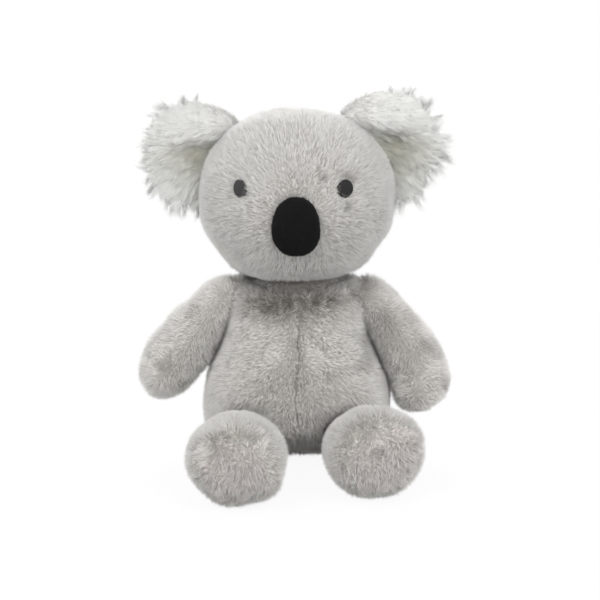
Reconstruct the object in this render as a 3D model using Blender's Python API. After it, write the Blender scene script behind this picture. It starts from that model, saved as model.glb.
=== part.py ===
"""Seated plush koala: plush panels sewn over stuffing, with a head, ears, arms and legs that flop.

Metres, +Z up. The toy faces -Y, its own left side is +X, and its seat rests on z = 0.
Every soft form is a stack of rings. A panel is cut from its form at the seams and hollowed by the
same form set in by the panel's thickness, and the stuffing is that form set in once more.
The part that takes the most skill is how the limbs lie against the body: each ring point of an arm,
a leg or an ear is drawn in until it stays clear through the whole range of its joint.
"""

import math

import bpy
import numpy as np

MM = 0.001

# Sewing: the panels' thickness is the backing cloth and the lower half of its pile
SEAM_GAP = 0.3 * MM
PANEL = 3.0 * MM
SOCKET_GAP = 0.8 * MM
EAR_CLOTH = 1.6 * MM
CLEARANCE = 0.7 * MM
HIP_CLEARANCE = 2.9 * MM
EAR_CLEARANCE = 0.0 * MM
OVERRUN = 20.0 * MM

# Body
BODY_HEIGHT = 115.0 * MM
BELLY_WIDTH = 129.0 * MM
BELLY_DEPTH = 104.0 * MM
BODY_SEAM_Y = 2.0 * MM
SEAT_BASE_WIDTH = 72.0 * MM
SEAT_BASE_DEPTH = 50.0 * MM
BEAN_BAG_HEIGHT = 26.0 * MM

# Neck: a ball of stuffing in the seam between the head and the body
NECK_RADIUS = 20.0 * MM
NECK_RISE = 8.0 * MM
NECK_GAP = 6.0 * MM

# Head, measured from its widest level up to the crown and down to the chin
HEAD_WIDTH = 134.0 * MM
HEAD_DEPTH = 112.0 * MM
CROWN_RISE = 65.5 * MM
CHIN_DROP = 51.0 * MM
HEAD_SEAM_Y = 6.0 * MM
MUZZLE_SWELL = 4.0 * MM
MUZZLE_SPREAD = 34.0 * MM
MUZZLE_DROP = 10.0 * MM

# Nose and eyes
NOSE_WIDTH = 31.0 * MM
NOSE_HEIGHT = 39.5 * MM
NOSE_DEPTH = 19.0 * MM
NOSE_SINK = 1.5 * MM
NOSE_DROP = 6.2 * MM
NOSE_CLOTH = 1.2 * MM
NOSE_BED = 1.2 * MM
EYE_WIDTH = 9.8 * MM
EYE_HEIGHT = 11.2 * MM
EYE_RISE = 17.5 * MM
EYE_LEFT_OUT = 31.0 * MM
EYE_RIGHT_OUT = 36.5 * MM
EYE_PROUD = 0.5 * MM
EYE_BED = 0.8 * MM

# Ears, measured from the head's widest level and outwards from their seam
EAR_LEFT_TOP_RISE = 61.0 * MM
EAR_RIGHT_TOP_RISE = 56.5 * MM
EAR_BOTTOM_DROP = 6.0 * MM
EAR_SEAM_Y = 4.0 * MM
EAR_REACH = 46.0 * MM
EAR_HEIGHT = 73.0 * MM
EAR_CUP = 26.0 * MM

# Arms
SHOULDER_HEIGHT = 106.0 * MM
SHOULDER_OUT = 13.5 * MM
SHOULDER_Y = -4.0 * MM
ARM_REACH = 84.0 * MM
ARM_ROOT = 18.0 * MM
ARM_WIDTH = 42.0 * MM
ARM_DEPTH = 37.0 * MM

# Legs: the right one lies straight, the left one is bunched up a little shorter
HIP_SPACING = 70.0 * MM
HIP_HEIGHT = 22.0 * MM
HIP_INSET = 1.5 * MM
HIP_RADIUS = 18.0 * MM
LEG_RIGHT_REACH = 100.0 * MM
LEG_LEFT_REACH = 86.0 * MM
FOOT_WIDTH = 64.5 * MM
FOOT_HEIGHT = 58.0 * MM
SOLE_SET_BACK = 6.0 * MM
FOOT_REST = 0.2 * MM

# Angles in degrees: how the limbs lie at rest, and how far each joint goes
ARM_LEFT_LEAN = 31
ARM_RIGHT_LEAN = 40
LEG_LEFT_SPLAY = 12
LEG_RIGHT_SPLAY = 2
HEAD_TURN_RANGE = (-30, 30)
HEAD_NOD_RANGE = (-14, 14)
EAR_FOLD_RANGE = (-9, 9)
ARM_SWING_RANGE = (-40, 85)
LEG_SWING_RANGE = (-20, 25)
EAR_LIP_ANGLE = 152
EAR_FLOOR_ANGLE = -98

# Superellipse powers: 2 is an ellipse, more is squarer
HEAD_POWER = 2.2
CROWN_POWER = 2.25
CHIN_POWER = 2.55
BODY_POWER = 2.2

# The body's outline from seat to neck: shares of its height, half width and half depth
BODY_OUTLINE_SHARES = (
    (0.00, 0.70, 0.58),
    (0.03, 0.82, 0.74),
    (0.10, 0.93, 0.90),
    (0.21, 0.985, 0.98),
    (0.365, 1.00, 1.00),
    (0.487, 0.965, 0.98),
    (0.61, 0.870, 0.925),
    (0.748, 0.750, 0.825),
    (0.835, 0.675, 0.740),
    (0.92, 0.585, 0.640),
    (0.965, 0.480, 0.530),
    (1.00, 0.340, 0.390),
)
# The arm's outline from its root to its paw: shares of its length and of its half width
ARM_OUTLINE_SHARES = (
    (0.00, 0.22),
    (0.03, 0.45),
    (0.08, 0.63),
    (0.16, 0.79),
    (0.30, 0.93),
    (0.46, 1.00),
    (0.66, 1.00),
    (0.80, 0.93),
    (0.90, 0.74),
    (0.96, 0.50),
    (1.00, 0.18),
)
# The leg's outline from its hip to its sole: shares of its reach, and how far it has grown from
# the hip's ball, 0, to the foot, 1, and past the foot how much of the foot is left
LEG_OUTLINE_SHARES = (
    (0.00, 0.00, 1.00),
    (0.14, 0.10, 1.00),
    (0.30, 0.32, 1.00),
    (0.50, 0.72, 1.00),
    (0.68, 0.98, 1.00),
    (0.78, 1.00, 0.99),
    (0.88, 1.00, 0.93),
    (0.94, 1.00, 0.83),
    (0.98, 1.00, 0.68),
    (1.00, 1.00, 0.46),
)
# The ear's half height and half cup from its seam to its tip, as shares
EAR_OUTLINE_SHARES = (
    (0.00, 0.86, 0.62),
    (0.20, 0.96, 0.88),
    (0.42, 1.00, 1.00),
    (0.64, 0.97, 0.97),
    (0.82, 0.83, 0.82),
    (0.94, 0.58, 0.55),
    (1.00, 0.24, 0.20),
)
NOSE_EGG_SHARE = 0.12
SWING_STEPS = 26
HALVINGS = 12

# Mesh fineness
BODY_ROUND = 28
BODY_RINGS = 13
LINING_ROUND = 18
LINING_RINGS = 9
ARM_ROUND = 16
ARM_RINGS = 12
LEG_ROUND = 18
BALL_RINGS = 4
LEG_RING_SHARES = (0, 0.03, 0.06, 0.09, 0.12, 0.155, 0.2, 0.27, 0.38, 0.52, 0.67, 0.8, 0.9, 0.96, 0.99, 1)
EAR_ROUND = 13
EAR_RINGS = 7

COLOURS = {
    "plush_light": ((0.53, 0.52, 0.50), 0.95),
    "plush_grey": ((0.45, 0.44, 0.42), 0.95),
    "ear_fur": ((0.66, 0.66, 0.62), 0.95),
    "nose_velvet": ((0.006, 0.006, 0.007), 0.8),
    "eye_thread": ((0.065, 0.065, 0.068), 0.7),
    "stuffing": ((0.85, 0.85, 0.84), 1.0),
    "bean_cloth": ((0.75, 0.74, 0.70), 0.9),
}


def curve_through(table, column, at):
    """Read one column of a table of points as a smooth curve at the places given."""
    points = np.array(table, float)
    xs, ys = points[:, 0], points[:, column]
    slopes = np.gradient(ys, xs)
    at = np.clip(at, xs[0], xs[-1])
    i = np.clip(np.searchsorted(xs, at, side="right") - 1, 0, len(xs) - 2)
    span = xs[i + 1] - xs[i]
    t = (at - xs[i]) / span
    start = (2 * t**3 - 3 * t**2 + 1) * ys[i] + (t**3 - 2 * t**2 + t) * span * slopes[i]
    end = (3 * t**2 - 2 * t**3) * ys[i + 1] + (t**3 - t**2) * span * slopes[i + 1]
    return start + end


def power_round(angles, power):
    """The unit superellipse's two coordinates at each angle."""
    c, s = np.cos(angles), np.sin(angles)
    return np.sign(c) * abs(c) ** (2 / power), np.sign(s) * abs(s) ** (2 / power)


def turned(points, pivot, axis, degrees):
    """Points turned about an axis through a pivot, by the right-hand rule."""
    axis = np.array(axis) / np.linalg.norm(axis)
    angle = math.radians(degrees)
    rel = points - pivot
    along = (rel @ axis)[..., None] * axis
    return pivot + along + (rel - along) * math.cos(angle) + np.cross(axis, rel) * math.sin(angle)


def body_half_sizes(share, inset=0.0):
    """The body's half width and half depth at a share of its height."""
    wide = curve_through(BODY_OUTLINE_SHARES, 1, share) * BELLY_WIDTH / 2 - inset
    deep = curve_through(BODY_OUTLINE_SHARES, 2, share) * BELLY_DEPTH / 2 - inset
    return wide, deep


def outside_body(points, margin):
    """Whether each point is outside the body, by at least the margin."""
    z = points[..., 2]
    wide, deep = body_half_sizes(z / BODY_HEIGHT, -margin)
    ring = abs(points[..., 0] / wide) ** BODY_POWER + abs(points[..., 1] / deep) ** BODY_POWER
    return (ring >= 1) | (z > BODY_HEIGHT + margin) | (z < -margin)


def head_level():
    """The height of the head's widest level."""
    return BODY_HEIGHT + NECK_GAP + CHIN_DROP


def neck_centre():
    """The middle of the neck's ball, which the head turns and nods about."""
    return np.array((0.0, 0.0, BODY_HEIGHT + NECK_RISE))


def head_ring_share(rise, margin=0.0):
    """How much of the head's widest ring is left at a rise over it."""
    above = rise > 0
    tall = np.where(above, CROWN_RISE, CHIN_DROP) + margin
    power = np.where(above, CROWN_POWER, CHIN_POWER)
    return np.maximum(1 - abs(rise / tall) ** power, 0) ** (1 / power)


def outside_head(points, margin):
    """Whether each point is outside the head at rest, by at least the margin."""
    ring = (
        abs(points[..., 0] / (HEAD_WIDTH / 2 + margin)) ** HEAD_POWER
        + abs(points[..., 1] / (HEAD_DEPTH / 2 + margin)) ** HEAD_POWER
    )
    return ring ** (1 / HEAD_POWER) >= head_ring_share(points[..., 2] - head_level(), margin)


def outside_moving_head(points, margin):
    """Whether each point stays outside the head however far it turns and nods."""
    free = np.ones(points.shape[:-1], bool)
    for turn in np.linspace(*HEAD_TURN_RANGE, 5):
        for nod in np.linspace(*HEAD_NOD_RANGE, 5):
            seen = turned(points, neck_centre(), (0, 0, 1), -turn)
            seen = turned(seen, neck_centre(), (1, 0, 0), -nod)
            free &= outside_head(seen, margin)
    return free


def swell(x, rise):
    """How far the muzzle stands out of the plain head, at a place on the face."""
    away = (x / MUZZLE_SPREAD) ** 2 + ((rise + MUZZLE_DROP) / MUZZLE_SPREAD) ** 2
    return MUZZLE_SWELL * np.exp(-away)


def head_across(rise, other_share):
    """The share of the head's half width or depth that is left at a rise, and off the other axis."""
    left = head_ring_share(rise) ** HEAD_POWER - abs(other_share) ** HEAD_POWER
    return max(left, 0) ** (1 / HEAD_POWER)


def face_y(x, rise):
    """The face's y at a place across it and a rise over the head's widest level."""
    return -HEAD_DEPTH / 2 * head_across(rise, 2 * x / HEAD_WIDTH) - swell(x, rise)


def ring_mesh(rings, first, last):
    """Points and faces of a closed body: rings from the first pole to the last, turning left."""
    rows, around = rings.shape[:2]
    points = np.concatenate([rings.reshape(-1, 3), [first, last]])
    faces = []
    for j in range(around):
        k = (j + 1) % around
        faces.append((rows * around, k, j))
        faces.append((rows * around + 1, (rows - 1) * around + j, (rows - 1) * around + k))
        for i in range(rows - 1):
            a, b = i * around, (i + 1) * around
            faces += [(a + j, a + k, b + k), (a + j, b + k, b + j)]
    return points, faces


def set_in(form, inset):
    """A form with each point moved inwards along its normal by a small distance."""
    points, faces = form
    corners = points[np.array(faces)]
    normals = np.zeros_like(points)
    face_normals = np.cross(corners[:, 1] - corners[:, 0], corners[:, 2] - corners[:, 0])
    np.add.at(normals, np.array(faces), face_normals[:, None])
    return points - inset * normals / np.linalg.norm(normals, axis=1, keepdims=True), faces


def head_form(inset, around, rows):
    """The head, set in by a distance: rings from the chin up to the crown."""
    polar = np.linspace(-math.pi / 2, math.pi / 2, rows + 2)[1:-1]
    above = polar > 0
    lift = np.sign(polar) * abs(np.sin(polar)) ** (2 / np.where(above, CROWN_POWER, CHIN_POWER))
    rise = np.where(above, CROWN_RISE - inset, CHIN_DROP - inset) * lift
    shrink = head_ring_share(rise, -inset)
    x, y = power_round(np.linspace(0, 2 * math.pi, around, endpoint=False), HEAD_POWER)
    rings = np.empty((rows, around, 3))
    rings[..., 0] = shrink[:, None] * x * (HEAD_WIDTH / 2 - inset)
    rings[..., 1] = shrink[:, None] * y * (HEAD_DEPTH / 2 - inset)
    rings[..., 2] = (rise + head_level())[:, None]
    forward = np.clip(-rings[..., 1] / (HEAD_DEPTH / 2), 0, 1)
    rings[..., 1] -= forward * swell(rings[..., 0], rings[..., 2] - head_level())
    chin = (0, 0, head_level() - CHIN_DROP + inset)
    crown = (0, 0, head_level() + CROWN_RISE - inset)
    return ring_mesh(rings, chin, crown)


def body_form(inset, around, rows):
    """The body, set in by a distance: rings from its flat seat up to the neck."""
    share = (1 - np.cos(np.linspace(0, math.pi, rows))) / 2
    wide, deep = body_half_sizes(share, inset)
    x, y = power_round(np.linspace(0, 2 * math.pi, around, endpoint=False), BODY_POWER)
    rings = np.empty((rows, around, 3))
    rings[..., 0] = wide[:, None] * x
    rings[..., 1] = deep[:, None] * y
    rings[..., 2] = (inset + share * (BODY_HEIGHT - 2 * inset))[:, None]
    return ring_mesh(rings, (0, 0, inset), (0, 0, BODY_HEIGHT - inset))


def drawn_in(spine, spokes, stays_free):
    """Each spoke shortened, where it has to be, until its point stays free through every pose."""
    full = np.ones(spokes.shape[:-1])
    low, high = np.full_like(full, 0.2), full
    blocked = ~stays_free(spine + spokes)
    for _ in range(HALVINGS):
        middle = (low + high) / 2
        free = stays_free(spine + spokes * middle[..., None])
        low, high = np.where(free, middle, low), np.where(free, high, middle)
    return spine + spokes * np.where(blocked, low, full)[..., None]


def swings_free(pivot, swing_range, margin, also_head):
    """A test of points on a limb: do they stay out of the body, and of the head, as it swings."""

    def stays_free(points):
        free = np.ones(points.shape[:-1], bool)
        for swing in np.linspace(*swing_range, SWING_STEPS):
            moved = turned(points, pivot, (-1, 0, 0), swing)
            free &= outside_body(moved, margin)
            if also_head:
                free &= outside_moving_head(moved, margin)
        return free

    return stays_free


def shoulder(side):
    """An arm's pivot. Side is 1 for the toy's left and -1 for its right."""
    wide, _ = body_half_sizes(SHOULDER_HEIGHT / BODY_HEIGHT)
    return np.array((side * (wide + SHOULDER_OUT), SHOULDER_Y, SHOULDER_HEIGHT))


def arm_form(side, lean, inset):
    """An arm, set in by a distance: rings from its root down to its paw."""
    pivot = shoulder(side)
    angle = math.radians(lean)
    along = np.array((side * math.sin(angle), 0, -math.cos(angle)))
    across = np.array((side * math.cos(angle), 0, math.sin(angle)))
    share = (1 - np.cos(np.linspace(0, math.pi, ARM_RINGS))) / 2
    size = curve_through(ARM_OUTLINE_SHARES, 1, share)[:, None] / 2
    distance = share * (ARM_REACH + ARM_ROOT - 2 * inset) - ARM_ROOT + inset
    spine = pivot + distance[:, None, None] * along
    turn = np.linspace(0, 2 * math.pi, ARM_ROUND, endpoint=False)
    sideways = (size * (ARM_WIDTH - 2 * inset) * np.cos(turn))[..., None] * across
    forwards = (size * (ARM_DEPTH - 2 * inset) * np.sin(turn))[..., None] * np.array((0, -side, 0))
    free = swings_free(pivot, ARM_SWING_RANGE, CLEARANCE + inset, True)
    rings = drawn_in(spine, sideways + forwards, free)
    return ring_mesh(rings, rings[0].mean(0), rings[-1].mean(0))


def hip(side):
    """A leg's pivot, just inside the body's front."""
    wide, deep = body_half_sizes(HIP_HEIGHT / BODY_HEIGHT)
    x = HIP_SPACING / 2
    front = deep * (1 - (x / wide) ** BODY_POWER) ** (1 / BODY_POWER)
    return np.array((side * x, HIP_INSET - front, HIP_HEIGHT))


def leg_axes(side, splay):
    """A leg's directions: forwards along it, and sideways."""
    angle = math.radians(splay)
    along = np.array((side * math.sin(angle), -math.cos(angle), 0))
    return along, np.array((math.cos(angle), side * math.sin(angle), 0))


def leg_form(side, splay, reach, inset):
    """A leg, set in by a distance: the hip's ball, then rings along to the sole."""
    pivot = hip(side)
    along, across = leg_axes(side, splay)
    up = np.array((0, 0, 1))
    behind = -np.cos(np.linspace(0, math.pi / 2, BALL_RINGS + 1)[1:-1])
    share = np.array(LEG_RING_SHARES)
    grown = curve_through(LEG_OUTLINE_SHARES, 1, share)
    left = curve_through(LEG_OUTLINE_SHARES, 2, share)
    radius = HIP_RADIUS - inset
    ball = radius * np.sqrt(1 - behind**2)
    wide = np.append(ball, (radius + grown * (FOOT_WIDTH / 2 - HIP_RADIUS)) * left)
    high = np.append(ball, (radius + grown * (FOOT_HEIGHT / 2 - HIP_RADIUS)) * left)
    lift = np.append(0 * ball, grown * (FOOT_REST + FOOT_HEIGHT / 2 - HIP_HEIGHT))
    distance = np.append(behind * radius, share * (reach - inset))
    spine = (pivot + distance[:, None] * along + lift[:, None] * up)[:, None]
    turn = np.linspace(0, 2 * math.pi, LEG_ROUND, endpoint=False)
    sideways = (wide[:, None] * np.cos(turn))[..., None] * across
    upwards = (high[:, None] * np.sin(turn))[..., None] * up
    free = swings_free(pivot, LEG_SWING_RANGE, HIP_CLEARANCE + inset, False)
    rings = drawn_in(spine, sideways + upwards, in_ball_or(pivot, radius + SEAM_GAP, free))
    return ring_mesh(rings, pivot - radius * along, rings[-1].mean(0))


def in_ball_or(pivot, radius, stays_free):
    """A test that also passes points inside the hip's ball, for which the body has a hollow."""

    def test(points):
        return (np.linalg.norm(points - pivot, axis=-1) <= radius) | stays_free(points)

    return test


def ear_frame(side):
    """The middle of an ear's seam, and its directions outwards and down along the seam."""
    ends = []
    for rise in (EAR_LEFT_TOP_RISE if side > 0 else EAR_RIGHT_TOP_RISE, -EAR_BOTTOM_DROP):
        x = HEAD_WIDTH / 2 * head_across(rise, 2 * EAR_SEAM_Y / HEAD_DEPTH)
        ends.append(np.array((side * x, EAR_SEAM_Y, head_level() + rise)))
    down = (ends[1] - ends[0]) / np.linalg.norm(ends[1] - ends[0])
    out = np.array((-side * down[2], 0, side * down[0]))
    return (ends[0] + ends[1]) / 2, out, down


def ear_surface(side, inset, share_out, angle):
    """Points of an ear's cup, set in by a distance, at shares outwards and at angles round it."""
    middle, out, down = ear_frame(side)
    high = curve_through(EAR_OUTLINE_SHARES, 1, share_out) * EAR_HEIGHT / 2 - inset
    cup = curve_through(EAR_OUTLINE_SHARES, 2, share_out) * EAR_CUP / 2 - inset
    return (
        middle
        + (share_out * (EAR_REACH - inset))[..., None] * out
        - (high * np.sin(angle))[..., None] * down
        + (cup * np.cos(angle))[..., None] * np.array((0, 1, 0))
    )


def ear_root(side, inset, angle):
    """How far out, as a share, each line of an ear has to start to stay clear of the head."""
    middle, _, down = ear_frame(side)

    def stays_free(share):
        points = ear_surface(side, inset, share, angle)
        free = np.ones(share.shape, bool)
        for fold in np.linspace(*EAR_FOLD_RANGE, 5):
            free &= outside_head(turned(points, middle, down, fold), EAR_CLEARANCE)
        return free

    low, high = np.zeros_like(angle), np.full_like(angle, 0.8)
    for _ in range(HALVINGS):
        share = (low + high) / 2
        free = stays_free(share)
        low, high = np.where(free, low, share), np.where(free, share, high)
    return high


def ear_sheet(side, outer, inner):
    """One layer of an ear, between two distances in from the outside of its cup."""
    angle = np.radians(np.linspace(EAR_FLOOR_ANGLE, EAR_LIP_ANGLE, EAR_ROUND))
    step = np.sin(np.linspace(0, math.pi / 2, EAR_RINGS))
    grids = []
    for inset in (outer, inner):
        root = ear_root(side, inset, angle)
        share = root + step[:, None] * (1 - root)
        grids.append(ear_surface(side, inset, share, np.broadcast_to(angle, share.shape)))
    return slab_mesh(*grids, side < 0)


def slab_mesh(top, bottom, flip):
    """Points and faces of a sheet between two grids of points."""
    rows, columns = top.shape[:2]
    points = np.concatenate([top.reshape(-1, 3), bottom.reshape(-1, 3)])
    under = rows * columns
    faces = []
    for i in range(rows - 1):
        for j in range(columns - 1):
            a, b = i * columns + j, (i + 1) * columns + j
            faces.append((a, a + 1, b + 1, b))
            faces.append((under + a, under + b, under + b + 1, under + a + 1))
    rim = [j for j in range(columns)]
    rim += [i * columns + columns - 1 for i in range(1, rows)]
    rim += [(rows - 1) * columns + j for j in range(columns - 2, -1, -1)]
    rim += [i * columns for i in range(rows - 2, 0, -1)]
    for a, b in zip(rim, rim[1:] + rim[:1]):
        faces.append((b, a, under + a, under + b))
    if flip:
        faces = [face[::-1] for face in faces]
    return points, faces


def ball_form(centre, half_sizes, around, rows, egg_share=0.0):
    """An ellipsoid, or an egg that is wider below its middle: rings from the bottom up."""
    polar = np.linspace(0, math.pi, rows + 2)[1:-1]
    turn = np.linspace(0, 2 * math.pi, around, endpoint=False)
    lift = -np.cos(polar)[:, None]
    rings = np.empty((rows, around, 3))
    rings[..., 0] = np.sin(polar)[:, None] * np.cos(turn) * (1 - egg_share * lift) * half_sizes[0]
    rings[..., 1] = np.sin(polar)[:, None] * np.sin(turn) * half_sizes[1]
    rings[..., 2] = lift * half_sizes[2]
    down = np.array((0, 0, half_sizes[2]))
    return ring_mesh(rings + centre, centre - down, centre + down)


def prism_form(centre, half_width, half_height, axis, start, end, around):
    """An oval prism along Y or Z, from one place on that axis to another."""
    turn = np.linspace(0, 2 * math.pi, around, endpoint=False)
    rings = np.empty((2, around, 3))
    for ring, place in zip(rings, (start, end)):
        ring[:, 0] = centre[0] + half_width * np.cos(turn)
        if axis == "Z":
            ring[:, 1] = centre[1] + half_height * np.sin(turn)
            ring[:, 2] = place
        else:
            ring[:, 1] = -place
            ring[:, 2] = centre[2] + half_height * np.sin(turn)
    return ring_mesh(rings, rings[0].mean(0), rings[1].mean(0))


def material(name):
    """One of the toy's materials, made the first time it is asked for."""
    made = bpy.data.materials.get(name)
    if made is None:
        colour, roughness = COLOURS[name]
        made = bpy.data.materials.new(name)
        made.use_nodes = True
        shader = made.node_tree.nodes["Principled BSDF"]
        shader.inputs["Base Color"].default_value = (*colour, 1)
        shader.inputs["Roughness"].default_value = roughness
    return made


def joint_empty(name, place, parent=None):
    """An empty on a joint's axis, to carry the pieces that move with it."""
    empty = bpy.data.objects.new(name, None)
    bpy.context.collection.objects.link(empty)
    empty["place"] = [float(value) for value in place]
    empty.parent = parent
    empty.location = np.array(place) - (np.array(parent["place"]) if parent else 0)
    return empty


def solid(name, form, carrier=None, colour=None):
    """An object from points and faces, carried by a joint's empty."""
    points, faces = form
    if carrier:
        points = points - np.array(carrier["place"])
    mesh = bpy.data.meshes.new(name)
    mesh.from_pydata([tuple(map(float, point)) for point in points], [], faces)
    mesh.validate()
    mesh.shade_smooth()
    mesh.set_sharp_from_angle(angle=math.radians(50))
    made = bpy.data.objects.new(name, mesh)
    bpy.context.collection.objects.link(made)
    made.parent = carrier
    if colour:
        made.data.materials.append(material(colour))
    return made


def cutter(name, form):
    """A solid that only cuts others, and isn't part of the toy."""
    made = solid("cut_" + name, form)
    made.hide_render = True
    made.display_type = "WIRE"
    return made


def block(name, low, high):
    """A cutter box between two corners."""
    a, b = np.array(low, float), np.array(high, float)
    base = [(a[0], a[1]), (b[0], a[1]), (b[0], b[1]), (a[0], b[1])]
    points = np.array([(*p, z) for z in (a[2], b[2]) for p in base])
    faces = [(3, 2, 1, 0), (4, 5, 6, 7)]
    faces += [(i, (i + 1) % 4, (i + 1) % 4 + 4, i + 4) for i in range(4)]
    return cutter(name, (points, faces))


def keep(made, region):
    """Keep only what lies in the region. The exact solver empties these thin shells."""
    change = made.modifiers.new("keep_" + region.name, "BOOLEAN")
    change.solver = "MANIFOLD"
    change.operation = "INTERSECT"
    change.object = region


def cut(made, *tools):
    """Cut each tool out of the object."""
    for tool in tools:
        change = made.modifiers.new("cut_" + tool.name, "BOOLEAN")
        change.solver = "MANIFOLD"
        change.operation = "DIFFERENCE"
        change.object = tool


def quarter_regions(name, seam_y):
    """The four blocks that a form's front, back, left and right panels are cut from."""
    far = BODY_HEIGHT + CROWN_RISE + CHIN_DROP + OVERRUN
    edge = SEAM_GAP / 2
    return {
        (front, side): block(
            f"{name}_{front}_{side}",
            (edge if side == "left" else -far, -far if front == "front" else seam_y + edge, -OVERRUN),
            (far if side == "left" else -edge, seam_y - edge if front == "front" else far, far + far),
        )
        for front in ("front", "back")
        for side in ("left", "right")
    }


def make_body():
    """The body's four panels and its seat base, over its stuffing and the bag of pellets."""
    outer = body_form(0, BODY_ROUND, BODY_RINGS)
    hollow = cutter("body_hollow", body_form(PANEL, LINING_ROUND, LINING_RINGS))
    cut(hollow, *socket_balls("wall", SOCKET_GAP + PANEL))
    base = base_prism("seat_base_edge", 0)
    gap_round_base = base_prism("seat_base_gap", SEAM_GAP)
    dents = socket_balls("dent", SOCKET_GAP)
    regions = quarter_regions("body", BODY_SEAM_Y)
    for (front, side), region in regions.items():
        name = ("tummy_" if front == "front" else "back_") + side
        panel = solid(name, outer, colour="plush_grey")
        keep(panel, region)
        cut(panel, hollow, gap_round_base, *dents)
    seat = solid("seat_base", outer, colour="plush_grey")
    keep(seat, base)
    cut(seat, hollow)

    set_in = PANEL + SEAM_GAP
    inside = body_form(set_in, LINING_ROUND, LINING_RINGS)
    walls = socket_balls("stuffing", SOCKET_GAP + PANEL + SEAM_GAP)
    far = BELLY_WIDTH + OVERRUN
    low = block("below_beans", (-far, -far, -OVERRUN), (far, far, BEAN_BAG_HEIGHT))
    high = block("above_beans", (-far, -far, BEAN_BAG_HEIGHT + SEAM_GAP), (far, far, far + far))
    for name, region, colour in (
        ("bean_bag", low, "bean_cloth"),
        ("torso_filling", high, "stuffing"),
    ):
        fill = solid(name, inside, colour=colour)
        keep(fill, region)
        cut(fill, *walls)


def base_prism(name, grow):
    """The oval outline of the seat base, grown by a distance."""
    return cutter(
        name,
        prism_form(
            np.zeros(3),
            SEAT_BASE_WIDTH / 2 + grow,
            SEAT_BASE_DEPTH / 2 + grow,
            "Z",
            -OVERRUN,
            PANEL + SEAM_GAP,
            LINING_ROUND,
        ),
    )


def socket_balls(name, grow):
    """Cutters round the neck's ball and the two hips' balls, grown by a distance."""
    balls = [("neck", neck_centre(), NECK_RADIUS)]
    balls += [("hip_left", hip(1), HIP_RADIUS), ("hip_right", hip(-1), HIP_RADIUS)]
    return [
        cutter(
            f"{name}_{place}",
            ball_form(centre, np.full(3, radius + grow), LINING_ROUND, LINING_RINGS),
        )
        for place, centre, radius in balls
    ]


def neck_cutter(name, grow):
    """A cutter round the neck's ball, grown by a distance."""
    radius = np.full(3, NECK_RADIUS + grow)
    return cutter(name, ball_form(neck_centre(), radius, LINING_ROUND, LINING_RINGS))


def make_head(nod):
    """The head's four panels over its stuffing, with the nose and the eyes bedded in the face."""
    outer = head_form(0, BODY_ROUND, BODY_RINGS)
    hollow = cutter("head_hollow", head_form(PANEL, LINING_ROUND, LINING_RINGS))
    cut(hollow, neck_cutter("head_neck_wall", SOCKET_GAP + PANEL))
    dent = neck_cutter("head_neck_dent", SOCKET_GAP)
    beds = make_nose(nod) + make_eyes(nod)
    for (front, side), region in quarter_regions("head", HEAD_SEAM_Y).items():
        name = ("face_" if front == "front" else "head_back_") + side
        panel = solid(name, outer, nod, "plush_light")
        keep(panel, region)
        cut(panel, hollow, dent)
        if front == "front":
            cut(panel, *beds)
    fill = solid("head_filling", head_form(PANEL + SEAM_GAP, LINING_ROUND, LINING_RINGS), nod)
    fill.data.materials.append(material("stuffing"))
    cut(fill, neck_cutter("head_neck_stuffing", SOCKET_GAP + PANEL + SEAM_GAP))


def nose_form(inset):
    """The nose's egg, set in by a distance."""
    centre = np.array((0.0, face_y(0, -NOSE_DROP) + NOSE_SINK, head_level() - NOSE_DROP))
    half = np.array((NOSE_WIDTH, NOSE_DEPTH, NOSE_HEIGHT)) / 2 - inset
    return ball_form(centre, half, LINING_ROUND, LINING_RINGS, NOSE_EGG_SHARE)


def make_nose(nod):
    """The nose's velvet cover over its pad. It returns the cutter of the nose's bed."""
    floor = cutter("nose_floor", head_form(NOSE_BED, BODY_ROUND, BODY_RINGS))
    cover = solid("nose_cover", nose_form(0), nod, "nose_velvet")
    cut(cover, floor, cutter("nose_hollow", nose_form(NOSE_CLOTH)))
    pad = solid("nose_pad", nose_form(NOSE_CLOTH + SEAM_GAP), nod, "stuffing")
    cut(pad, floor)
    bed = cutter("nose_bed", nose_form(-SEAM_GAP))
    cut(bed, cutter("nose_bed_floor", head_form(NOSE_BED + SEAM_GAP, BODY_ROUND, BODY_RINGS)))
    return [bed]


def eye_prism(name, x, grow):
    """The oval outline of an eye, grown by a distance, through the front of the head."""
    centre = np.array((x, 0, head_level() + EYE_RISE))
    half = EYE_WIDTH / 2 + grow, EYE_HEIGHT / 2 + grow
    return cutter(name, prism_form(centre, *half, "Y", 0, HEAD_DEPTH, EAR_ROUND))


def make_eyes(nod):
    """Both embroidered eyes, each a pad of thread on the face. It returns their beds' cutters."""
    floor = cutter("eye_floor", head_form(EYE_BED, BODY_ROUND, BODY_RINGS))
    bed_floor = cutter("eye_bed_floor", head_form(EYE_BED + SEAM_GAP, BODY_ROUND, BODY_RINGS))
    beds = []
    for side, x in (("left", EYE_LEFT_OUT), ("right", -EYE_RIGHT_OUT)):
        eye = solid(f"eye_{side}", head_form(-EYE_PROUD, BODY_ROUND, BODY_RINGS), nod, "eye_thread")
        keep(eye, eye_prism(f"eye_{side}_edge", x, 0))
        cut(eye, floor)
        bed = eye_prism(f"eye_{side}_bed", x, SEAM_GAP)
        cut(bed, bed_floor)
        beds.append(bed)
    return beds


def make_ears(nod):
    """Both ears: plush backs and long-haired linings, sewn along the sides of the head."""
    for side, name in ((1, "left"), (-1, "right")):
        fold = joint_empty(f"ear_{name}_fold", ear_frame(side)[0], nod)
        back = ear_sheet(side, 0, EAR_CLOTH)
        lining = ear_sheet(side, EAR_CLOTH + SEAM_GAP, 2 * EAR_CLOTH + SEAM_GAP)
        solid(f"ear_{name}_back", back, fold, "plush_light")
        solid(f"ear_{name}_lining", lining, fold, "ear_fur")


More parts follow.
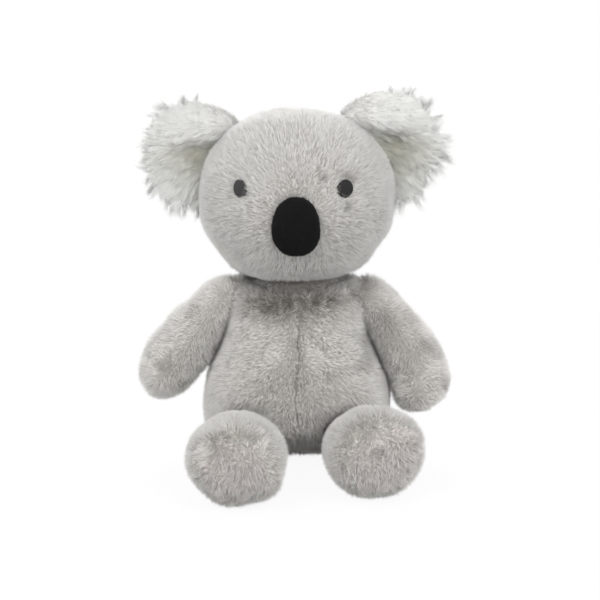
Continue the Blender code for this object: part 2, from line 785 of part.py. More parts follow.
def make_arms():
    """Both arms: a front and a rear panel each, over stuffing."""
    for side, name, lean in ((1, "left", ARM_LEFT_LEAN), (-1, "right", ARM_RIGHT_LEAN)):
        swing = joint_empty(f"arm_{name}_swing", shoulder(side))
        outer = arm_form(side, lean, 0)
        inner = arm_form(side, lean, PANEL)
        hollow = cutter(f"arm_{name}_hollow", inner)
        far = BODY_HEIGHT + BELLY_WIDTH + OVERRUN
        edge = SEAM_GAP / 2
        low, high = SHOULDER_Y - edge, SHOULDER_Y + edge
        front = block(f"arm_{name}_ahead", (-far, -far, -far), (far, low, far))
        rear = block(f"arm_{name}_behind", (-far, high, -far), (far, far, far))
        for part, region in (("front", front), ("rear", rear)):
            panel = solid(f"arm_{name}_{part}", outer, swing, "plush_grey")
            keep(panel, region)
            cut(panel, hollow)
        solid(f"arm_{name}_filling", set_in(inner, SEAM_GAP), swing, "stuffing")


def leg_region(name, side, splay, low, high):
    """A block in a leg's own directions: from low to high along it and sideways of it."""
    along, across = leg_axes(side, splay)
    far = BODY_HEIGHT + OVERRUN
    base = [
        hip(side) + u * along + v * across
        for u, v in ((low[0], low[1]), (high[0], low[1]), (high[0], high[1]), (low[0], high[1]))
    ]
    points = np.array([p + np.array((0, 0, z)) for z in (-far, far) for p in base])
    faces = [(3, 2, 1, 0), (4, 5, 6, 7)]
    faces += [(i, (i + 1) % 4, (i + 1) % 4 + 4, i + 4) for i in range(4)]
    return cutter(name, (points, faces))


def make_legs():
    """Both legs: an inner and an outer panel each, and a round sole, over stuffing."""
    legs = (
        (1, "left", LEG_LEFT_SPLAY, LEG_LEFT_REACH),
        (-1, "right", LEG_RIGHT_SPLAY, LEG_RIGHT_REACH),
    )
    for side, name, splay, reach in legs:
        swing = joint_empty(f"leg_{name}_swing", hip(side))
        outer = leg_form(side, splay, reach, 0)
        inner = leg_form(side, splay, reach, PANEL)
        hollow = cutter(f"leg_{name}_hollow", inner)
        far = reach + HIP_RADIUS + FOOT_WIDTH
        seam = reach - SOLE_SET_BACK
        edge = SEAM_GAP / 2
        right_half = (-far, -far), (seam - edge, -edge)
        left_half = (-far, edge), (seam - edge, far)
        front = (seam + edge, -far), (far, far)
        outside, inside = (left_half, right_half) if side > 0 else (right_half, left_half)
        for part, region in (("outer", outside), ("inner", inside), ("sole", front)):
            panel = solid(f"leg_{name}_{part}", outer, swing, "plush_grey")
            keep(panel, leg_region(f"leg_{name}_{part}", side, splay, *region))
            cut(panel, hollow)
        solid(f"leg_{name}_filling", set_in(inner, SEAM_GAP), swing, "stuffing")


def make_koala():
    """The whole toy, from the seat up."""
    for old in list(bpy.data.objects):
        bpy.data.objects.remove(old)
    turn = joint_empty("head_turn", neck_centre())
    nod = joint_empty("head_nod", neck_centre(), turn)
    make_body()
    ball = ball_form(neck_centre(), np.full(3, NECK_RADIUS), LINING_ROUND, LINING_RINGS)
    solid("neck_filling", ball, turn, "stuffing")
    make_head(nod)
    make_ears(nod)
    make_arms()
    make_legs()


make_koala()
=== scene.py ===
"""Looks of a seated plush koala: plush skins with real pile, long-haired ears, a velvet nose.

Every soft form is measured on the CAD solids as a smooth field of distances from its middle line.
Each panel of plush is a skin over its share of that form, with its pile standing on it as strands.
"""

import copy
import logging
import math
from dataclasses import dataclass, field, replace
from enum import Enum
from functools import cache
from typing import Callable

import bpy
import numpy as np
from bpy.types import Material, Node, NodeSocket, NodeTree, Object
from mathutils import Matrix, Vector
from mathutils.bvhtree import BVHTree
from mathutils.kdtree import KDTree

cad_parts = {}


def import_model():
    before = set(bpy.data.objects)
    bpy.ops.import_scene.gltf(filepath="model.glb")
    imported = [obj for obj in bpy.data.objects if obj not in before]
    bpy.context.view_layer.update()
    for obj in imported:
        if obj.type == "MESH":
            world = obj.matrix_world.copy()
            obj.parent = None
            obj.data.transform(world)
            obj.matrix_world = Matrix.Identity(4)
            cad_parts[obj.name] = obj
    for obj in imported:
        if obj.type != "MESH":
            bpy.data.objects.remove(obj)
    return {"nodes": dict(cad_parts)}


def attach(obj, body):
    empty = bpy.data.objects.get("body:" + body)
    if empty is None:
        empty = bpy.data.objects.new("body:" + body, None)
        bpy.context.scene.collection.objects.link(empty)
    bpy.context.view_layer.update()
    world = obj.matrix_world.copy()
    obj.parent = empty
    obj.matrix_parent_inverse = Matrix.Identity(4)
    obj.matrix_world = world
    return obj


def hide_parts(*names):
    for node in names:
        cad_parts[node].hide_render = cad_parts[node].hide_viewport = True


log = logging.getLogger("koala")
Array = np.ndarray
Place = tuple[float, float, float]
Flow = Callable[[Array, Array], Array]
Amount = Callable[[Array], Array]
Hills = tuple[tuple[Place, float, float], ...]

MM = 0.001
TURN = 2 * math.pi
LEVEL = np.array((1.0, 0.0, 0.0))
DOWN = np.array((0.0, 0.0, -1.0))
FRONT = np.array((0.0, -1.0, 0.0))
# The balls that the head, the legs and the arms turn on, as in the frame, on the toy's left.
NECK, NECK_RADIUS = np.array((0.0, 0.0, 123.0)) * MM, 20 * MM
HIP, HIP_RADIUS = np.array((35.0, -42.24, 22.0)) * MM, 18 * MM
SHOULDER, SHOULDER_RADIUS = np.array((51.02, -4.0, 106.0)) * MM, 16 * MM


class Side(Enum):
    """A side of the toy, as seen by the toy itself."""

    LEFT = 1
    RIGHT = -1

    @property
    def word(self) -> str:
        """The side's word in node names."""
        return self.name.lower()

    def mirror(self, place: Array) -> Array:
        """Carry a place on the left over to this side."""
        return place * (self.value, 1, 1)


def linear(hex_colour: str) -> tuple[float, float, float, float]:
    """Turn an sRGB hex colour to linear.

    Args:
        hex_colour: Six hex digits.

    Returns:
        Linear red, green, blue and an alpha of 1.
    """
    parts = [int(hex_colour[i : i + 2], 16) / 255 for i in (0, 2, 4)]
    red, green, blue = (c / 12.92 if c <= 0.04045 else ((c + 0.055) / 1.055) ** 2.4 for c in parts)
    return red, green, blue, 1.0


def unit(vectors: Array) -> Array:
    """Scale vectors to length 1."""
    return vectors / np.maximum(np.linalg.norm(vectors, axis=-1, keepdims=True), 1e-12)


def along_surface(vectors: Array, normals: Array) -> Array:
    """The share of each vector that lies in the surface, at length 1."""
    return unit(vectors - (vectors * normals).sum(-1, keepdims=True) * normals)


def in_mm(points: Array) -> Array:
    """The points' x, y and z in mm, each as an array of its own."""
    return np.moveaxis(points / MM, -1, 0)


def ramp(values: Array, start: float, end: float) -> Array:
    """Run evenly from 0 at the start value to 1 at the end value, which may be the lower one."""
    return np.clip((values - start) / (end - start), 0, 1)


def bump(values: Array, middle: float, width: float, power: int = 2) -> Array:
    """Rise smoothly to 1 at the middle value, and fall off over the width."""
    return np.exp(-(((values - middle) / width) ** power))


def near(points: Array, place: Place, radius: float) -> Array:
    """How near points are to a place, both in mm: 1 there, falling to 0 beyond the radius."""
    away = (points / MM - np.array(place)) / radius
    return np.exp(-(away**2).sum(-1))


def hills(points: Array, rows: Hills) -> Array:
    """Add up smooth hills. Each row is a hill's place and radius in mm, and its height."""
    return sum(height * near(points, place, radius) for place, radius, height in rows)


def beyond(points: Array, middle: Array, radius: float) -> Array:
    """Which points are outside a ball."""
    return np.linalg.norm(points - middle, axis=-1) > radius


def drift(points: Array, size: float, seed: int, waves: int = 18) -> Array:
    """Smooth random values through space.

    Args:
        points: Places, in metres.
        size: Distance between like values, in metres.
        seed: Picks the pattern.
        waves: How many plane waves are added up.

    Returns:
        One value for each point, about -2 to 2.
    """
    rng = np.random.default_rng(seed)
    ways = unit(rng.normal(size=(waves, 3))) * (TURN / size * rng.uniform(0.6, 1.5, (waves, 1)))
    return np.sin(points @ ways.T + rng.uniform(0, TURN, waves)).sum(-1) * math.sqrt(2 / waves)


def drift_vector(points: Array, size: float, seed: int) -> Array:
    """Smooth random vectors through space, as drift gives values."""
    return np.stack([drift(points, size, seed + k) for k in range(3)], -1)


def seam_distance(points: Array, at: Array, normal: Array) -> Array:
    """How far points are from a seam, which strays a little either side of its plane."""
    return (points - at) @ normal + 0.8 * MM * drift(points, 14 * MM, 3, 9)


def evenly(value: float | bool) -> Amount:
    """An amount that is the same at every point.

    Args:
        value: The amount.

    Returns:
        The function that gives the amount at points.
    """

    def amount(points: Array) -> Array:
        """The value, once for each point."""
        return np.full(points.shape[:-1], value)

    return amount


def node(tree: NodeTree, kind: str, settings: dict, links: dict) -> Node:
    """Add a shader node.

    Args:
        tree: The tree to add to.
        kind: The node's type name, without ShaderNode.
        settings: Attributes, or input values by name or number.
        links: Output sockets to link to inputs, by input name or number.

    Returns:
        The node.
    """
    made = tree.nodes.new("ShaderNode" + kind)
    for name, value in settings.items():
        if isinstance(name, str) and hasattr(made, name):
            setattr(made, name, value)
        else:
            made.inputs[name].default_value = value
    for name, socket in links.items():
        tree.links.new(socket, made.inputs[name])
    return made


def matt_material(name: str, roughness: float, specular: float, sheen: float, sheen_width: float) -> Material:
    """Start a cloth material.

    Args:
        name: The material's name.
        roughness: How matt it is.
        specular: How strong its highlights are.
        sheen: How pale its fuzzy edge looks.
        sheen_width: How wide that edge is.

    Returns:
        The material, with its colour still to be set.
    """
    made = bpy.data.materials.new(name)
    made.use_nodes = True
    sockets = made.node_tree.nodes["Principled BSDF"].inputs
    sockets["Roughness"].default_value = roughness
    sockets["Specular IOR Level"].default_value = specular
    sockets["Sheen Weight"].default_value = sheen
    sockets["Sheen Roughness"].default_value = sheen_width
    return made


@dataclass(frozen=True)
class PlushFinish:
    """Knitted polyester plush: fine matt fibres, dark between them and pale at their tips."""

    name: str
    root_hex: str
    tip_hex: str
    painted_shade_hex: str
    rise: float
    mottle: float
    sheen: float = 0.2

    @cache
    def material(self) -> Material:
        """The plush's material. Each strand is darker at its root, partly as painted shade, is mixed towards
        a darker colour where painted shade is asked for, and has a tone of its own.

        Returns:
            The material, made the first time it is asked for.
        """
        made = matt_material(self.name, 0.9, 0.15, self.sheen, 0.6)
        tree = made.node_tree
        pile = node(tree, "Attribute", {"attribute_name": "pile"}, {})
        height, tone, painted_shade = node(tree, "SeparateColor", {}, {0: pile.outputs["Color"]}).outputs
        height = node(tree, "Math", {"operation": "POWER", 1: self.rise}, {0: height})
        colours = {"data_type": "RGBA", 6: linear(self.root_hex), 7: linear(self.tip_hex)}
        colour = node(tree, "Mix", colours, {0: height.outputs[0]})
        # Painted shade: the third channel mixes the colour towards a darker one.
        parted = {"data_type": "RGBA", 7: linear(self.painted_shade_hex)}
        colour = node(tree, "Mix", parted, {0: painted_shade, 6: colour.outputs[2]})
        tones = {"operation": "MULTIPLY_ADD", 1: 2 * self.mottle, 2: 1 - self.mottle}
        tone = node(tree, "Math", tones, {0: tone})
        toned = {0: colour.outputs[2], "Scale": tone.outputs[0]}
        colour = node(tree, "VectorMath", {"operation": "SCALE"}, toned)
        tree.links.new(colour.outputs[0], tree.nodes["Principled BSDF"].inputs["Base Color"])
        return made


@dataclass(frozen=True)
class ClothFinish:
    """A plain fine cloth or thread, with a soft edge sheen."""

    name: str
    hex_colour: str
    roughness: float
    sheen: float

    @cache
    def material(self) -> Material:
        """The cloth's material, made the first time it is asked for.

        Returns:
            The material.
        """
        made = matt_material(self.name, self.roughness, 0.2, self.sheen, 0.5)
        shader = made.node_tree.nodes["Principled BSDF"]
        shader.inputs["Base Color"].default_value = linear(self.hex_colour)
        return made


# Cut polyester pile on a knitted back: pale tips over dark roots, so partings and strokes read grey. The
# roots' darkness is partly painted shade from inside the pile.
PALE_PLUSH = PlushFinish("pale_polyester_plush", "7C7872", "E7E6E3", "5B5853", 0.9, 0.2)
# The body's plush is darker at its roots, partly as painted shade, which draws its tufts and the seams more
# sharply.
GREY_PLUSH = PlushFinish("grey_polyester_plush", "6A655D", "FBF9F5", "5B5750", 0.85, 0.2)
# The soles' plush has a slightly warm, rosy grey.
SOLE_PLUSH = PlushFinish("sole_polyester_plush", "7A736F", "F2EDEA", "7A736F", 0.85, 0.2)
# Long brushed fur: even and near white, with a greenish grey painted shade in the ear's hollow.
EAR_FUR = PlushFinish("white_long_fur", "C4C3BA", "DDDDDA", "999786", 0.6, 0.03, 0.12)
# The fringe's thin locks let light through, so they look whiter than the fur behind them.
FRINGE_FUR = PlushFinish("white_fringe_fur", "E6E6E4", "F2F2F0", "E6E6E4", 0.6, 0.03, 0.12)
# Nylon flock on a knitted back swallows nearly all light, and shows only a faint edge sheen.
NOSE_VELVET = ClothFinish("black_nylon_velvet", "070708", 0.95, 0.01)
# Rayon thread has a soft gloss along the stitches. The toy's left eye has the same thread, painted darker as
# painted shade.
EYE_THREAD = ClothFinish("charcoal_rayon_thread", "2E2D2D", 0.6, 0.06)
SHADED_EYE_THREAD = ClothFinish("dark_charcoal_rayon_thread", "181717", 0.6, 0.03)
# Carded polyester fibre is matt and white, and stays hidden under the plush.
STUFFING = ClothFinish("white_polyester_fibre", "EDEDEB", 1.0, 0.2)
Finish = PlushFinish | ClothFinish


@dataclass(frozen=True)
class Pile:
    """How plush stands: strand length and width in mm, lean in degrees, strands for each mm2.

    A share of the strands, the guard strands, are longer, thicker and less in line than the rest.
    """

    length: float = 4.4
    width: float = 0.31
    lean: float = 22.0
    density: float = 3.2
    stray: float = 0.09
    spread: float = 0.13
    tuft: float = 0.36
    tuft_size: float = 1.4
    segments: int = 1
    curl: float = 0.0
    root_height: float = 0.1
    guard: float = 0.12
    relief: float = 0.55

    def for_panel(self, name: str) -> "Pile":
        """This pile, or one of fewer and thicker strands for a panel at the back."""
        return replace(self, density=2.0, width=0.4) if "back" in name else self


@dataclass
class MeshParts:
    """Points and faces that make up one mesh, with each point's pile colour, normal and UV place."""

    parts: list[tuple[Array, ...]] = field(default_factory=list)
    count: int = 0

    def add(
        self, points: Array, normals: Array, colours: Array, places: Array, quads: Array, triangles: Array
    ) -> None:
        """Add points and the faces between them.

        Args:
            points: Places of the points.
            normals: Shading normals.
            colours: Height up the pile, tone, the amount of painted shade and 1, each 0 to 1.
            places: UV places.
            quads: Four point numbers for each face.
            triangles: Three point numbers for each face.
        """
        faces = quads.reshape(-1, 4) + self.count, triangles.reshape(-1, 3) + self.count
        values = zip((points, normals, colours, places), (3, 3, 4, 2))
        self.parts.append((*(value.reshape(-1, width) for value, width in values), *faces))
        self.count += points.size // 3

    def build(
        self, name: str, finish: Finish, body: str, slot: str, nodes: tuple[str, ...],
        fill: float | None = None,
    ) -> None:
        """Make the object, attach it to its body and hide the CAD nodes it stands for.

        Args:
            name: The object's name.
            finish: What it is made of.
            body: The body it moves with.
            slot: The record's slot that it takes its finish from; not used here.
            nodes: The CAD nodes it stands for.
            fill: How tight it is filled, if it is a padded piece; not used here.
        """
        points, normals, colours, places, quads, triangles = map(np.concatenate, zip(*self.parts))
        corners = np.concatenate([quads.ravel(), triangles.ravel()]).astype(np.int32)
        sizes = np.repeat((4, 3), (len(quads), len(triangles))).astype(np.int32)
        starts = np.concatenate([[0], np.cumsum(sizes)[:-1]]).astype(np.int32)
        mesh = bpy.data.meshes.new(name)
        mesh.vertices.add(len(points))
        mesh.vertices.foreach_set("co", points.astype(np.float32).ravel())
        mesh.loops.add(len(corners))
        mesh.loops.foreach_set("vertex_index", corners)
        mesh.polygons.add(len(sizes))
        mesh.polygons.foreach_set("loop_start", starts)
        mesh.polygons.foreach_set("loop_total", sizes)
        mesh.update(calc_edges=True)
        mesh.polygons.foreach_set("use_smooth", np.ones(len(sizes), bool))
        pile = mesh.color_attributes.new("pile", "FLOAT_COLOR", "POINT")
        pile.data.foreach_set("color", colours.astype(np.float32).ravel())
        layer = mesh.uv_layers.new(name="OFBake")
        layer.uv.foreach_set("vector", places[corners].astype(np.float32).ravel())
        mesh.materials.append(finish.material())
        mesh.normals_split_custom_set_from_vertices(unit(normals).tolist())
        made = bpy.data.objects.new(name, mesh)
        bpy.context.collection.objects.link(made)
        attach(made, body)
        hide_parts(*nodes)
        log.info("%s: %d points", name, len(points))


def add_skin(
    parts: MeshParts, outer: Array, normals: Array, thick: float, shade: float,
    flip: bool = False, painted_shade: Array | float = 0.0,
) -> None:
    """Add a closed sheet of cloth under a grid of points.

    Args:
        parts: The mesh to add to.
        outer: Rows and columns of points on the outside.
        normals: The outside's normals.
        thick: The cloth's thickness.
        shade: How pale the cloth is, as a height up the pile.
        flip: Whether the grid's faces have to be turned over to face out.
        painted_shade: How much painted shade each outer point gets, 0 to 1.
    """
    rows, columns = outer.shape[:2]
    under = rows * columns
    number = np.arange(under).reshape(rows, columns)
    faces = np.stack([number[:-1, :-1], number[:-1, 1:], number[1:, 1:], number[1:, :-1]], -1).reshape(-1, 4)
    rim = np.concatenate([number[0], number[1:, -1], number[-1, -2::-1], number[-2:0:-1, 0]])
    after = np.roll(rim, -1)
    sides = np.stack([after, rim, rim + under, after + under], -1)
    quads = np.concatenate([faces, faces[:, ::-1] + under, sides])
    if flip:
        quads = quads[:, ::-1]
    down, across = np.meshgrid(np.linspace(0, 1, rows), np.linspace(0, 1, columns), indexing="ij")
    high = 0.01 + 0.98 * down
    place = np.stack([[0.005 + 0.46 * across, high], [0.475 + 0.01 * across, high]]).transpose(0, 2, 3, 1)
    colours = np.tile((shade, 0.5, 0.0, 1.0), (2 * under, 1))
    colours[:under, 2] = np.ravel(painted_shade)
    points, facing = np.stack([outer, outer - thick * normals]), np.stack([normals, -normals])
    parts.add(points, facing, colours, place, quads, np.empty((0, 3), int))


def near_tufts(roots: Array, pile: Pile, rng: np.random.Generator) -> tuple[Array, Array]:
    """Pick tuft middles among strand roots, and give each root the nearest.

    Args:
        roots: Where the strands start.
        pile: How the strands stand.
        rng: The source of chance.

    Returns:
        Which roots are middles, and for each root which middle is its own.
    """
    tufts = max(1, int(len(roots) / max(1.0, pile.density * pile.tuft_size**2)))
    middles = rng.choice(len(roots), tufts, replace=False)
    tree = KDTree(tufts)
    for number, place in enumerate(roots[middles].tolist()):
        tree.insert(place, number)
    tree.balance()
    return middles, np.array([tree.find(place)[1] for place in roots.tolist()])


def strand_places(count: int, segments: int) -> Array:
    """UV places for strands, each in a cell of its own in the map's right half.

    Args:
        count: How many there are.
        segments: How many parts each strand has.

    Returns:
        The places of each strand's points.
    """
    cells = max(1, math.ceil(math.sqrt(count / 2)))
    cell = np.arange(count)[:, None]
    across = np.append(np.tile((0.2, 0.45, 0.7), segments), 0.45)
    up = np.append(np.repeat(np.arange(segments) / segments, 3), 1)
    left = 0.5 + 0.5 * (cell % cells) / cells
    low = (cell // cells) / (2 * cells + 1)
    return np.stack([left + 0.3 / cells * across, low + 0.8 / (2 * cells + 1) * up], -1)


def add_strands(
    parts: MeshParts, roots: Array, normals: Array, ways: Array, lengths: Array, pile: Pile, seed: int,
    ruffle: Array | float = 1.0, painted_shade: Array | float = 0.0, facing_to: Array | None = None,
) -> None:
    """Add strands of pile as thin three-sided spikes.

    Args:
        parts: The mesh to add to.
        roots: Where each strand starts.
        normals: The surface's normal there.
        ways: The direction each strand leans, with the surface.
        lengths: Each strand's length.
        pile: How the strands stand.
        seed: Picks the pattern.
        ruffle: How ruffled the pile is at each root: 1 in full tufts, 0 combed smooth.
        painted_shade: How much painted shade each strand gets, 0 to 1, less towards its tip.
        facing_to: The way the strands face the light, if not along the normals.
    """
    rng = np.random.default_rng(seed)
    count = len(roots)
    ruffle = np.broadcast_to(ruffle, count)[:, None]
    guard = rng.random((count, 1)) < pile.guard * (0.3 + 0.7 * ruffle)
    lengths = lengths[:, None] * np.where(guard, 1.2, 1)
    thick = pile.width * MM / 2 * np.where(guard, 1.45, 1)
    middles, own = near_tufts(roots, pile, rng)
    from_middle = roots - roots[middles][own]
    # Most of a strand's direction is its tuft's, and it leans to the tuft's middle.
    lean = np.radians(pile.lean) * (1 + 0.2 * rng.normal(size=(count, 1)))
    alone = normals * np.cos(lean) + ways * np.sin(lean)
    apart = pile.spread * ruffle[middles] * rng.normal(size=(len(middles), 3))
    together = unit(alone[middles] + apart)[own]
    straight = 0.35 * alone + 0.65 * together - pile.tuft * ruffle * from_middle / lengths
    stray = pile.stray * np.where(guard, 2.4, 1) * (0.4 + 0.6 * ruffle)
    straight = unit(straight + stray * rng.normal(size=(count, 3)))
    rise = (straight * normals).sum(-1, keepdims=True)
    straight = unit(np.where(rise < 0.12, straight + (0.14 - rise) * normals, straight))
    sag = unit(straight + pile.curl * ways) - straight
    # Each strand and each tuft has a tone of its own, over broad patches.
    tone = 0.13 * rng.normal(size=(count, 1)) + 0.14 * rng.normal(size=(len(middles), 1))[own]
    tone = tone + 0.09 * drift(roots, 9 * MM, seed + 6)[:, None]
    tone = np.clip(0.5 + (0.2 + 0.8 * ruffle) * tone - 0.05 * (1 - ruffle) + 0.12 * guard, 0, 1)
    rough = pile.relief * (0.25 + 0.75 * ruffle)
    rounded = normals if facing_to is None else facing_to
    rounded = rounded + 0.9 * rough * from_middle / (pile.tuft_size * MM)
    root = pile.root_height + 0.15 * (1 - ruffle) * (1 - pile.root_height)
    first = unit(np.cross(straight, normals + 0.01))
    corner = TURN / 3 * np.arange(3)[:, None]
    out = np.cos(corner) * first[:, None] + np.sin(corner) * np.cross(straight, first)[:, None]
    last = 3 * pile.segments
    points = np.empty((count, last + 1, 3))
    facing, shade = np.empty_like(points), np.ones((count, last + 1))
    for k in range(pile.segments):
        share, ring = k / pile.segments, slice(3 * k, 3 * k + 3)
        middle = roots + lengths * (share * straight + pile.curl * share**2 * sag)
        middle = middle - 0.3 * MM * (k == 0) * normals
        points[:, ring] = middle[:, None] + (1 - 0.75 * share) * thick[:, None] * out
        facing[:, ring] = 0.75 * rounded[:, None] + rough[:, None] * out
        shade[:, ring] = root + (1 - root) * share
    points[:, -1] = roots + lengths * (straight + pile.curl * sag)
    facing[:, -1] = rounded + (rough / 0.55 * straight if facing_to is None else 0)
    points[..., 2] = np.maximum(points[..., 2], 0.25 * MM)
    painted_shade = np.broadcast_to(painted_shade, count)[:, None] * (1 - 0.35 * shade)
    colours = np.stack(np.broadcast_arrays(shade, tone, painted_shade, 1.0), -1)
    pairs = ((0, 1), (1, 2), (2, 0))
    bases = range(0, last - 3, 3)
    quads = [(base + a, base + b, base + 3 + b, base + 3 + a) for base in bases for a, b in pairs]
    tips = [(last - 3 + a, last - 3 + b, last) for a, b in pairs]
    start = (np.arange(count) * (last + 1))[:, None, None]
    quads = start + np.array(quads, int).reshape(-1, 4)
    parts.add(points, facing, colours, strand_places(count, pile.segments), quads, start + np.array(tips))


@dataclass
class SoftForm:
    """A closed soft form, measured on CAD solids as distances from its middle line.

    Rows run from the start of the middle line to its end, and columns turn round it.
    """

    solids: list[Object]
    start: Array
    end: Array
    axis: Array = field(default_factory=DOWN.copy)
    across: Array = field(default_factory=LEVEL.copy)
    cap_rows: float = 0.5
    inset: float = 3.4 * MM
    soften: float = 2.2
    rows: int = 120
    columns: int = 160
    seams: list[tuple[Array, Array, float]] = field(default_factory=list)
    shaping: Flow | None = None
    lumps: float = 0.8 * MM
    flip: bool = False

    def __post_init__(self) -> None:
        """Measure the form, and smooth it so that the facets of the solids don't show."""
        points: list[Vector] = []
        faces: list[tuple[int, ...]] = []
        for solid in self.solids:
            base = len(points)
            points += [v.co.copy() for v in solid.data.vertices]
            faces += [tuple(base + i for i in face.vertices) for face in solid.data.polygons]
        tree = BVHTree.FromPolygons(points, faces)
        self.third = np.cross(self.axis, self.across)
        turns = np.linspace(0, TURN, self.columns, endpoint=False)
        share, turn = np.meshgrid(np.linspace(0, 1, self.rows), turns, indexing="ij")
        origins, ways = self.rays(share, turn)
        reach = 0.3
        self.field = np.zeros(share.shape)
        for place in np.ndindex(share.shape):
            origin, way = Vector(origins[place]), Vector(ways[place])
            hit = tree.ray_cast(origin + reach * way, -way)
            self.field[place] = (hit[0] - origin).length if hit[0] else 0
        width = int(3 * self.soften) + 1
        kernel = np.exp(-((np.arange(-width, width + 1) / self.soften) ** 2) / 2)
        kernel /= kernel.sum()
        for axis, mode in ((1, "wrap"), (0, "edge")):
            self.field = np.median(self.shifted(axis, mode, 2), axis=0)
        for axis, mode in ((1, "wrap"), (0, "edge")):
            self.field = sum(w * layer for w, layer in zip(kernel, self.shifted(axis, mode, width)))
        self.field[0], self.field[-1] = self.field[0].mean(), self.field[-1].mean()
        skin = origins + self.field[..., None] * ways
        self.field = self.field + 0.6 * self.lumps * drift(skin, 30 * MM, 5)
        if self.shaping:
            self.field = self.field + self.shaping(skin, ways)

    def shifted(self, axis: int, mode: str, width: int) -> list[Array]:
        """The field moved along an axis by every step up to the width, each way.

        Args:
            axis: The axis, 0 for rows and 1 for columns.
            mode: How the field goes on past its ends.
            width: The most steps each way.

        Returns:
            The moved fields, from the most steps back to the most steps on.
        """
        pad = [(width, width) if k == axis else (0, 0) for k in (0, 1)]
        padded, size = np.pad(self.field, pad, mode), self.field.shape[axis]
        return [np.take(padded, range(k, k + size), axis) for k in range(2 * width + 1)]

    def rays(self, share: Array, turn: Array) -> tuple[Array, Array]:
        """Where the form's rays start, and which way they go.

        Args:
            share: Places from the first pole to the last, 0 to 1.
            turn: Angles round the middle line.

        Returns:
            The starts and the directions.
        """
        cap = self.cap_rows
        middle = ramp(share, cap, 1 - cap) if cap < 0.5 else (share > 0.5) * 1.0
        tilt = (ramp(share, 1 - cap, 1) - ramp(share, cap, 0)) * math.pi / 2
        round_it = np.cos(turn)[..., None] * self.across + np.sin(turn)[..., None] * self.third
        ways = np.sin(tilt)[..., None] * self.axis + np.cos(tilt)[..., None] * round_it
        return self.start + middle[..., None] * (self.end - self.start), ways

    def place(self, share: Array, turn: Array, lift: float = 0.0) -> Array:
        """Points on the form's skin.

        Args:
            share: Places from the first pole to the last, 0 to 1.
            turn: Angles round the middle line.
            lift: A distance out from the skin.

        Returns:
            The points.
        """
        row = np.clip(share, 0, 1) * (self.rows - 1)
        column = np.mod(turn, TURN) / TURN * self.columns
        i = np.minimum(row.astype(int), self.rows - 2)
        j = column.astype(int) % self.columns
        k = (j + 1) % self.columns
        u, v = row - i, column - np.floor(column)
        u = 0.7 * u + 0.3 * u * u * (3 - 2 * u)
        reach = (1 - u) * ((1 - v) * self.field[i, j] + v * self.field[i, k])
        reach += u * ((1 - v) * self.field[i + 1, j] + v * self.field[i + 1, k])
        origins, ways = self.rays(share, turn)
        points = origins + (reach - self.inset + lift)[..., None] * ways
        for at, normal, depth in self.seams:
            groove = depth * bump(seam_distance(points, at, normal), 0, 1.9 * MM)
            points = points - groove[..., None] * ways
        return points

    def normals(self, share: Array, turn: Array) -> Array:
        """The skin's outward normals at places on it.

        Args:
            share: Places from the first row to the last, 0 to 1.
            turn: Angles round the form.

        Returns:
            The normals, at length 1.
        """
        step_share, step_turn = 1.2 / self.rows, TURN * 1.2 / self.columns
        low, high = (np.clip(share + step, 0.002, 0.998) for step in (-step_share, step_share))
        level = np.clip(share, 0.004, 0.996)
        lengthways = self.place(high, turn) - self.place(low, turn)
        sideways = self.place(level, turn + step_turn) - self.place(level, turn - step_turn)
        return unit(np.cross(sideways, lengthways))

    def outside(self, points: Array, margin: float) -> Array:
        """Which points are outside a form that has one middle point, by at least a margin.

        Args:
            points: Places, in metres.
            margin: How far outside they have to be.

        Returns:
            For each place, whether it is outside.
        """
        away = points - self.start
        reach = np.linalg.norm(away, axis=-1)
        share = 0.5 + np.arcsin(np.clip(away @ self.axis / reach, -1, 1)) / math.pi
        turn = np.arctan2(away @ self.third, away @ self.across)
        return reach > np.linalg.norm(self.place(share, turn) - self.start, axis=-1) + margin

    def front_at(self, x: Array, z: Array) -> Array:
        """How far forward the form's skin is at places seen from the front.

        Args:
            x: How far the places are across, in metres.
            z: How high the places are, in metres.

        Returns:
            The y of the skin at each place.
        """
        ahead, behind = np.full_like(x, -0.2), np.full_like(x, self.start[1])
        for _ in range(24):
            middle = (ahead + behind) / 2
            free = self.outside(np.stack([x, middle, z], -1), 0.0)
            ahead, behind = np.where(free, middle, ahead), np.where(free, behind, middle)
        return ahead

    def crossing(self, turns: Array, at: Array, normal: Array) -> Array:
        """The last share, at each turn, where the skin passes through a plane."""
        share, turn = np.meshgrid(np.linspace(0.4, 1, 400), turns, indexing="ij")
        return 0.4 + 0.6 * np.argmax((self.place(share, turn) - at) @ normal > 0, axis=0) / 399


